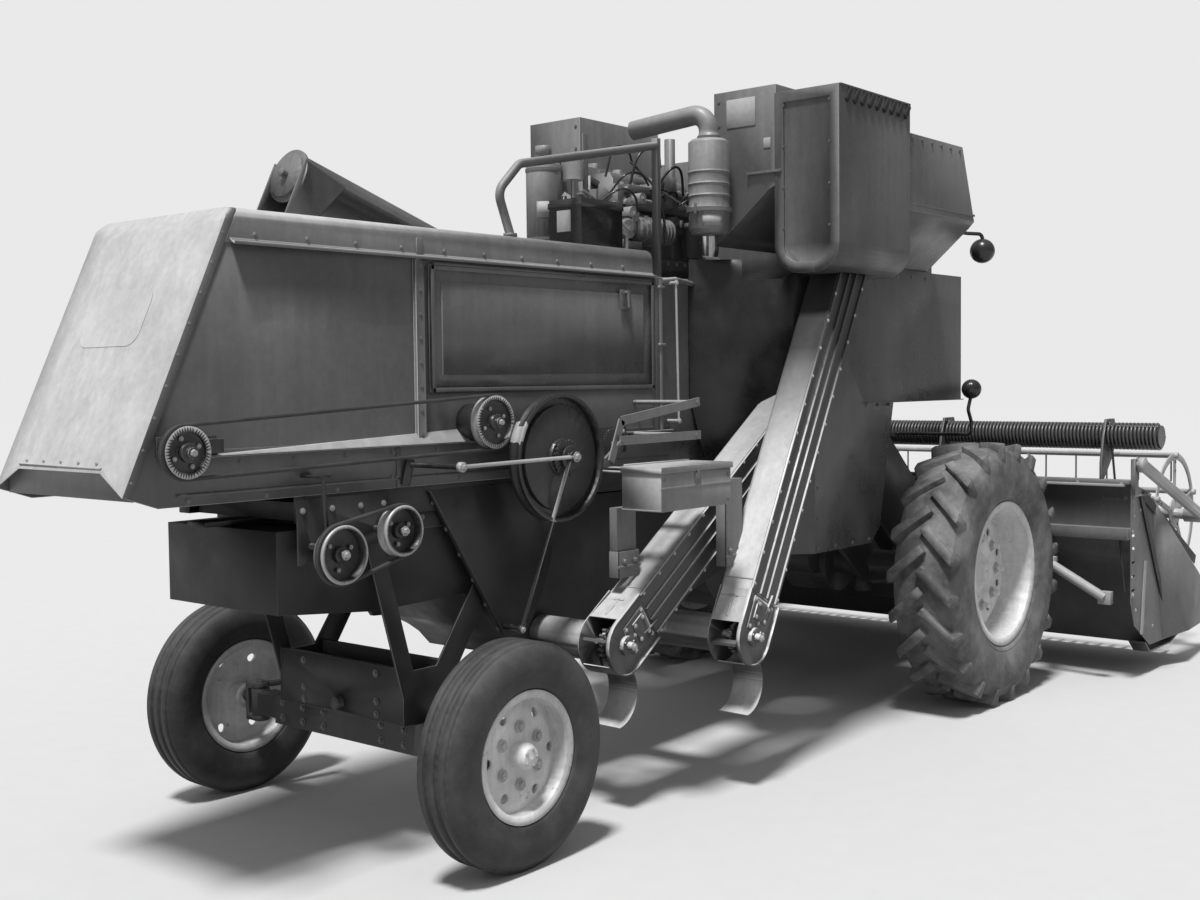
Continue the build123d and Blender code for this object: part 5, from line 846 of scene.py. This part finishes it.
for x in (1500, 1590, 1750, 1900, 1960):
    bolt(engine_bits, (x, ENGINE_Y - 30, ENGINE_Z + 482), (0, 0, 1), 8, 8)
for x in range(1425, 2070, 64):
    bolt(engine_bits, (x, ENGINE_Y - 140, ENGINE_Z + 92), RIGHT, 6, 5)
for x in (1520, 1660, 1830, 1970):
    spindle(engine_bits, (x, ENGINE_Y - 112, ENGINE_Z + 372), (x, ENGINE_Y - 150, ENGINE_Z + 384), 11, 6)
    spindle(engine_bits, (x, ENGINE_Y - 150, ENGINE_Z + 384), (x, ENGINE_Y - 186, ENGINE_Z + 396), 6, 10, 0.7)
finished("engine_fixings", engine_bits, bare_edge)


def tube(name, points, radius, material, body="machine"):
    """A bent pipe of round section through its points, its bends eased."""
    curve = bpy.data.curves.new(name, "CURVE")
    curve.dimensions = "3D"
    curve.bevel_depth = radius / 1000
    curve.bevel_resolution = 3
    curve.resolution_u = 10
    curve.use_fill_caps = True
    spline = curve.splines.new("BEZIER")
    spline.bezier_points.add(len(points) - 1)
    places = [at(*p) for p in points]
    for i, knot in enumerate(spline.bezier_points):
        before = places[max(i - 1, 0)]
        after = places[min(i + 1, len(places) - 1)]
        knot.co = places[i]
        along = (after - before).normalized()
        knot.handle_left = places[i] - along * (places[i] - before).length * 0.34
        knot.handle_right = places[i] + along * (after - places[i]).length * 0.34
    curve.materials.append(material)
    made = bpy.data.objects.new(name, curve)
    bpy.context.scene.collection.objects.link(made)
    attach(made, body)
    return made


for i, x in enumerate((1520, 1660, 1830, 1970)):
    tube("plug_lead_%d" % i, [(x, ENGINE_Y - 184, ENGINE_Z + 395), ((x + 1760) / 2, ENGINE_Y - 214, ENGINE_Z + 400),
                              (1752 + i * 6, ENGINE_Y - 168, ENGINE_Z + 340),
                              (1752 + i * 6, ENGINE_Y - 152, ENGINE_Z + 298)], 4, black_paint)
tube("fuel_pipe", [(1860, ENGINE_Y - 196, ENGINE_Z + 276), (1800, ENGINE_Y - 216, ENGINE_Z + 330),
                   (1690, ENGINE_Y - 216, ENGINE_Z + 372), (1638, ENGINE_Y - 172, ENGINE_Z + 416)], 5, bare_edge)
# Pipes, leads and brackets over the engine, each a stiff run clipped at both ends
LEADS = (
    ((1255, -150, 2480), (1300, -160, 2600), (1400, -150, 2612), (1480, -120, 2560)),
    ((1400, -160, 2440), (1440, -190, 2590), (1560, -190, 2620), (1640, -150, 2560)),
    ((1180, -170, 2360), (1260, -230, 2420), (1350, -230, 2400), (1410, -200, 2340)),
    ((1426, -150, 2560), (1470, -250, 2440), (1500, -270, 2330), (1510, -270, 2200)),
    ((1330, -110, 2420), (1380, -160, 2500), (1470, -170, 2510), (1540, -160, 2470)),
    ((1560, -190, 2460), (1600, -240, 2540), (1680, -230, 2540), (1740, -200, 2440)),
)
for i, lead in enumerate(LEADS):
    tube("engine_lead_%d" % i, lead, 5 + i % 2, black_paint)
for i, rail_z in enumerate((0, 26)):
    tube("throttle_rod_%d" % i, [(960, -262 - i * 12, 2372 + rail_z * 0.4), (1100, -262 - i * 12, 2300 + rail_z),
                                 (1250, -262 - i * 12, 2222 + rail_z)], 6, bare_edge)
tube("top_hose", [(1420, 262, 2560), (1380, 180, 2580), (1390, 90, 2520), (1430, 40, 2475)], 22, black_paint)
fittings = bmesh.new()
spindle(fittings, (1100, -100, 2452), (1100, -100, 2528), 46, 32)
spindle(fittings, (1100, -100, 2528), (1100, -100, 2536), 30, 24)
spindle(fittings, (1100, -100, 2170), (1100, -100, 2452), 9, 12)
spindle(fittings, (1250, -262, 2216), (1250, -262, 2164), 10, 12)
spindle(fittings, (960, -262, 2372), (960, -262, 2364), 16, 12)
for x, y, z, r in ((1300, -150, 2350, 30), (1392, -170, 2330, 34), (1330, -190, 2260, 40), (1440, -180, 2400, 24)):
    spindle(fittings, (x, y - 26, z), (x, y + 26, z), r, 20)
    bolt(fittings, (x, y - 26, z), RIGHT, r * 0.3, 8)
finished("engine_fittings", fittings, fitting_steel)
brackets = bmesh.new()
bar(brackets, (1140, -126, 2164), (1172, -119, 2650), 2)
bar(brackets, (1240, -200, 2120), (1300, -120, 2330), 4)
bar(brackets, (1290, -216, 2180), (1420, -206, 2210), 3)
bar(brackets, (1310, -230, 2420), (1460, -222, 2446), 3)
bar(brackets, (1180, -160, 2164), (1196, -60, 2420), 3)
bar(brackets, (1120, -170, 2164), (1560, -150, 2178), 3)
finished("engine_brackets", brackets, engine_paint)
fan_belt = bmesh.new()
wheels = ((0, 110, 84), (-208, 216, 44), (0, 300, 50))
for i in range(3):
    y0, z0, r0 = wheels[i]
    y1, z1, r1 = wheels[(i + 1) % 3]
    run = Vector((y1 - y0, z1 - z0))
    out = Vector((-run.y, run.x)).normalized()
    if out.dot(Vector((y0 + 70, z0 - 205))) < 0:
        out = -out
    a = (y0 + out.x * (r0 + 3), z0 + out.y * (r0 + 3))
    b = (y1 + out.x * (r1 + 3), z1 + out.y * (r1 + 3))
    start = at(1363, ENGINE_Y + a[0], ENGINE_Z + a[1])
    end = at(1363, ENGINE_Y + b[0], ENGINE_Z + b[1])
    span = end - start
    turn = span.to_track_quat("Z", "X").to_matrix().to_4x4()
    bmesh.ops.create_cube(fan_belt, size=1, matrix=Matrix.Translation((start + end) / 2) @ turn
                          @ Matrix.Diagonal((0.016, 0.007, span.length + 0.01, 1)))
finished("fan_belt", fan_belt, belt_rubber)

# Radiator: brass core behind a woven screen of crossed wires
screen = bmesh.new()
for i in range(1, 26):
    x = 1450 + i * 20
    bar(screen, (x - 1, 302, 2142), (x + 1, 304, 2560))
for i in range(1, 21):
    z = 2140 + i * 20
    bar(screen, (1450, 300, z - 1), (1950, 302, z + 1))
finished("radiator_screen", screen, dull_steel)

# Air cleaner, battery and reservoir: enamelled cans with bright clamps, and blank labels
can_paint = enamel("can_enamel", 0.20, painted_sunlit_grey=0.36, dust=0.15, rough=0.30, dents=0.03, streaks=0.4)
reservoir_paint = enamel("reservoir_enamel", 0.17, painted_sunlit_grey=0.34, dust=0.2, rough=0.35, dents=0.05, streaks=0.5)
dress("oil_reservoir", reservoir_paint, edge=0.002, worn=bare_edge)
dress("battery", black_paint, edge=0.002)
dress("air_cleaner", can_paint, edge=0.002, worn=bare_edge)
clamps = bmesh.new()
for z in (2341, 2646):
    spindle(clamps, (1600, -440, z - 9), (1600, -440, z + 9), 98 if z < 2400 else 50, 48)
for side in (-1, 1):
    bar(clamps, (1600 + side * 98, -446, 2318), (1600 + side * 103, -434, 2366), 1)
bolt(clamps, (1652, -440, 2646), (1, 0, 0), 5, 8)
spindle(clamps, (1010, -20, 2484), (1010, -20, 2496), 77, 40)
spindle(clamps, (1010, -20, 2200), (1010, -20, 2212), 76, 40)
finished("can_clamps", clamps, dull_steel)
label_paint = enamel("label_paint", 0.42, dust=0.1, dust_grey=0.4, rough=0.5, dents=0.0, streaks=0.3)
labels = bmesh.new()
bar(labels, (895, -262, 2215), (899, -190, 2300), 0.8)
finished("battery_label", labels, label_paint)
can_label = bmesh.new()
for x, y, radius, start, step, count, low, high in ((1600, -440, 89, 196, 7, 9, 2268, 2318),
                                                    (1010, -20, 75.3, 198, 9, 9, 2290, 2356)):
    edges = []
    for i in range(count):
        a = math.radians(start + i * step)
        edges.append([can_label.verts.new(at(x + radius * math.cos(a), y + radius * math.sin(a), z))
                      for z in (low, high)])
    for (a, b), (c, d) in zip(edges, edges[1:]):
        can_label.faces.new((a, c, d, b))
sticker = finished("can_label", can_label, label_paint)
thick = sticker.modifiers.new("thick", "SOLIDIFY")
thick.thickness = 0.0006
thick.offset = 1

# Feeder house, pan, dividers and knife: dark sheet, painted paler as a painted highlight on faces that look up and
# to the rear, worn bright where the crop runs
header_paint = enamel("header_paint_dark", 0.060, painted_sunlit_grey=0.16, dust=0.20, dust_grey=0.20, rough=0.40)
end_paint = enamel("end_paint", 0.17, painted_sunlit_grey=0.30, dust=0.25, dust_grey=0.26, rough=0.42)
dress("feeder_house", header_paint, edge=0.003, worn=bare_edge)
dress("platform_pan", header_paint, edge=0.002, worn=bare_edge)
dress("dividers", end_paint, edge=0.002, worn=bare_edge)
dress("spring_brackets", header_paint, edge=0.002, worn=bare_edge)
dress("reel_arms", label_paint, edge=0.002, worn=bare_edge)
paint_faces("platform_pan", end_paint, lambda x, y, z, normal: abs(y) > 1400 and abs(normal.y) > 0.9)
dress("cutter_bar platform_auger", dull_steel, edge=0.001)
HEAD_BACK = 3985
END_Y = 1424
header_bits = bmesh.new()
for side in (-1, 1):
    face = side * END_Y
    outward = (0, side, 0)
    places = [(4008, 960), (4030, 880), (4008, 800), (4000, 560), (4006, 460), (4060, 380), (4180, 300),
              (4330, 260), (4120, 905), (4200, 860)]
    for x, z in places:
        bolt(header_bits, (x, face, z), outward, 7, 5)
for y in row((HEAD_BACK - 26, -1380, 1068), (HEAD_BACK - 26, 1380, 1068), 13):
    bolt(header_bits, (y[0], y[1], 1052), REARWARD, 6, 5)
for x, z in ((4010, 1180), (3958, 474)):
    bolt(header_bits, (x, -1444, z), RIGHT, 9, 6)
finished("header_bolts", header_bits, bare_edge, body="header")

# Pressed borders along the divider's top edges and the pale angle that stiffens the end sheet
borders = bmesh.new()
for side in (-1, 1):
    y = side * 1426
    for a, b in (((4300, y, 960), (5440, y, 190)), ((4010, side * 1427, 990), (4270, side * 1427, 975))):
        spindle(borders, a, b, 7, 8)
    start = at(4203, side * 1427, 628)
    end = at(4150, side * 1427, 240)
    span = end - start
    turn = span.to_track_quat("Z", "X").to_matrix().to_4x4()
    bmesh.ops.create_cube(borders, size=1, matrix=Matrix.Translation((start + end) / 2) @ turn
                          @ Matrix.Diagonal((0.030, 0.006, span.length, 1)))
bar(borders, (3952, -1395, 1036), (4010, 1395, 1050), 3)
finished("divider_borders", borders, bare_edge, body="header")

# Dark wear strips down the end sheets, the height rod, and the tube that braces the back sheet
strips = bmesh.new()
for side in (-1, 1):
    for a, b, wide in (((4118, 985), (4560, 262), 0.044), ((4150, 985), (5040, 545), 0.050)):
        start = at(a[0], side * 1431, a[1])
        end = at(b[0], side * 1431, b[1])
        span = end - start
        turn = span.to_track_quat("Z", "X").to_matrix().to_4x4()
        flat = bmesh.ops.create_cube(strips, size=1, matrix=Matrix.Diagonal((wide, 0.005, span.length, 1)))
        run = span.normalized()
        across = Vector((0, 1, 0)).cross(run)
        axes = Matrix((across, Vector((0, 1, 0)), run)).transposed().to_4x4()
        bmesh.ops.transform(strips, matrix=Matrix.Translation((start + end) / 2) @ axes, verts=flat["verts"])
spindle(strips, (4044, -1300, 1249), (3962, -1400, 486), 6)
finished("wear_strips", strips, frame_paint, body="header")
brace = bmesh.new()
spindle(brace, (3948, -1000, 612), (3948, -1300, 448), 26, 24)
spindle(brace, (3948, 1000, 612), (3948, 1300, 448), 26, 24)
for y, z in ((-1000, 612), (-1300, 448), (1000, 612), (1300, 448)):
    bar(brace, (3940, y - 34, z - 34), (3986, y + 34, z + 34), 3)
finished("back_brace", brace, label_paint, body="header")

# Counterbalance spring: one long close coil of round wire on its rod, with an eye clamp at each bracket
spring_steel = steel("spring_steel", 0.12, rough=0.30, metallic=0.3, rust=0.5)
SPRING_X = 4090
SPRING_Z = 1295
SPRING_HALF = 1540
COIL_R = 65
PITCH = 20.0
wire = bmesh.new()
turns = int(2 * SPRING_HALF / PITCH)
section = bmesh.ops.create_circle(wire, segments=6, radius=0.0078,
                                  matrix=Matrix.Translation(at(SPRING_X + COIL_R, -SPRING_HALF + 6, SPRING_Z)))
loop = list({e for v in section["verts"] for e in v.link_edges})
STEPS = 20
bmesh.ops.spin(wire, geom=loop, cent=at(SPRING_X, 0, SPRING_Z), axis=(0, 1, 0), angle=math.tau * turns,
               steps=STEPS * turns, dvec=(0, (2 * SPRING_HALF - 12) / 1000 / (STEPS * turns), 0), use_merge=False,
               use_duplicate=False)
ends = [e for e in wire.edges if len(e.link_faces) == 1]
bmesh.ops.holes_fill(wire, edges=ends, sides=0)
coil = finished("coil_spring", wire, spring_steel, body="header", smooth=80)
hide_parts("balance_spring")
# The rod inside the coil is painted near black: painted shade for the hollow of the coil.
spring_rod = bmesh.new()
spindle(spring_rod, (SPRING_X, -SPRING_HALF + 8, SPRING_Z), (SPRING_X, SPRING_HALF - 8, SPRING_Z), 52, 28)
for y in (-1535, 1535):
    spindle(spring_rod, (SPRING_X, y - 7, SPRING_Z), (SPRING_X, y + 7, SPRING_Z), 58, 32)
finished("spring_rod", spring_rod, black_paint, body="header")
small = bmesh.new()
start = Vector((3996, -1405, 974))
section = bmesh.ops.create_circle(small, segments=6, radius=0.003,
                                  matrix=Matrix.Translation(at(start.x + 13, start.y, start.z)))
loop = list({e for v in section["verts"] for e in v.link_edges})
bmesh.ops.spin(small, geom=loop, cent=at(start.x, start.y, start.z), axis=(0, 1, 0), angle=math.tau * 14,
               steps=14 * 14, dvec=(0, 0.13 / (14 * 14), 0), use_merge=False, use_duplicate=False)
bmesh.ops.holes_fill(small, edges=[e for e in small.edges if len(e.link_faces) == 1], sides=0)
finished("return_spring", small, spring_steel, body="header", smooth=80)

# Reel: pale enamel worn by straw, thin spring tines, and bolts where the bats meet their spiders
reel_paint = enamel("reel_enamel", 0.42, painted_sunlit_grey=0.50, dust=0.3, dust_grey=0.3, rough=0.42, dents=0.0, chips=0.05)
dress("reel", reel_paint, edge=0.001)
REEL = (5000, 810)
reel_bits = bmesh.new()
for y in (-1325, -450, 450, 1325):
    for i in range(5):
        a = math.radians(18 + i * 72)
        for reach in (80, 250, 300):
            bolt(reel_bits, (REEL[0] + reach * math.cos(a), y - 4, REEL[1] + reach * math.sin(a)), RIGHT, 6, 4)
finished("reel_bolts", reel_bits, dull_steel, body="reel_rotor")

# Unloading auger on the left, its swivel and the work lamps
dress("unloading_auger auger_swivel", tank_paint, edge=0.002, worn=bare_edge)
dress("work_lamps", black_paint, edge=0.002)
auger_bits = bmesh.new()
for i in range(8):
    a = i * math.tau / 8 + 0.2
    bolt(auger_bits, (1880 + 118 * math.cos(a), 880 + 118 * math.sin(a), 1902), (0, 0, 1), 7, 5)
finished("auger_bolts", auger_bits, bare_edge, body="unloader")
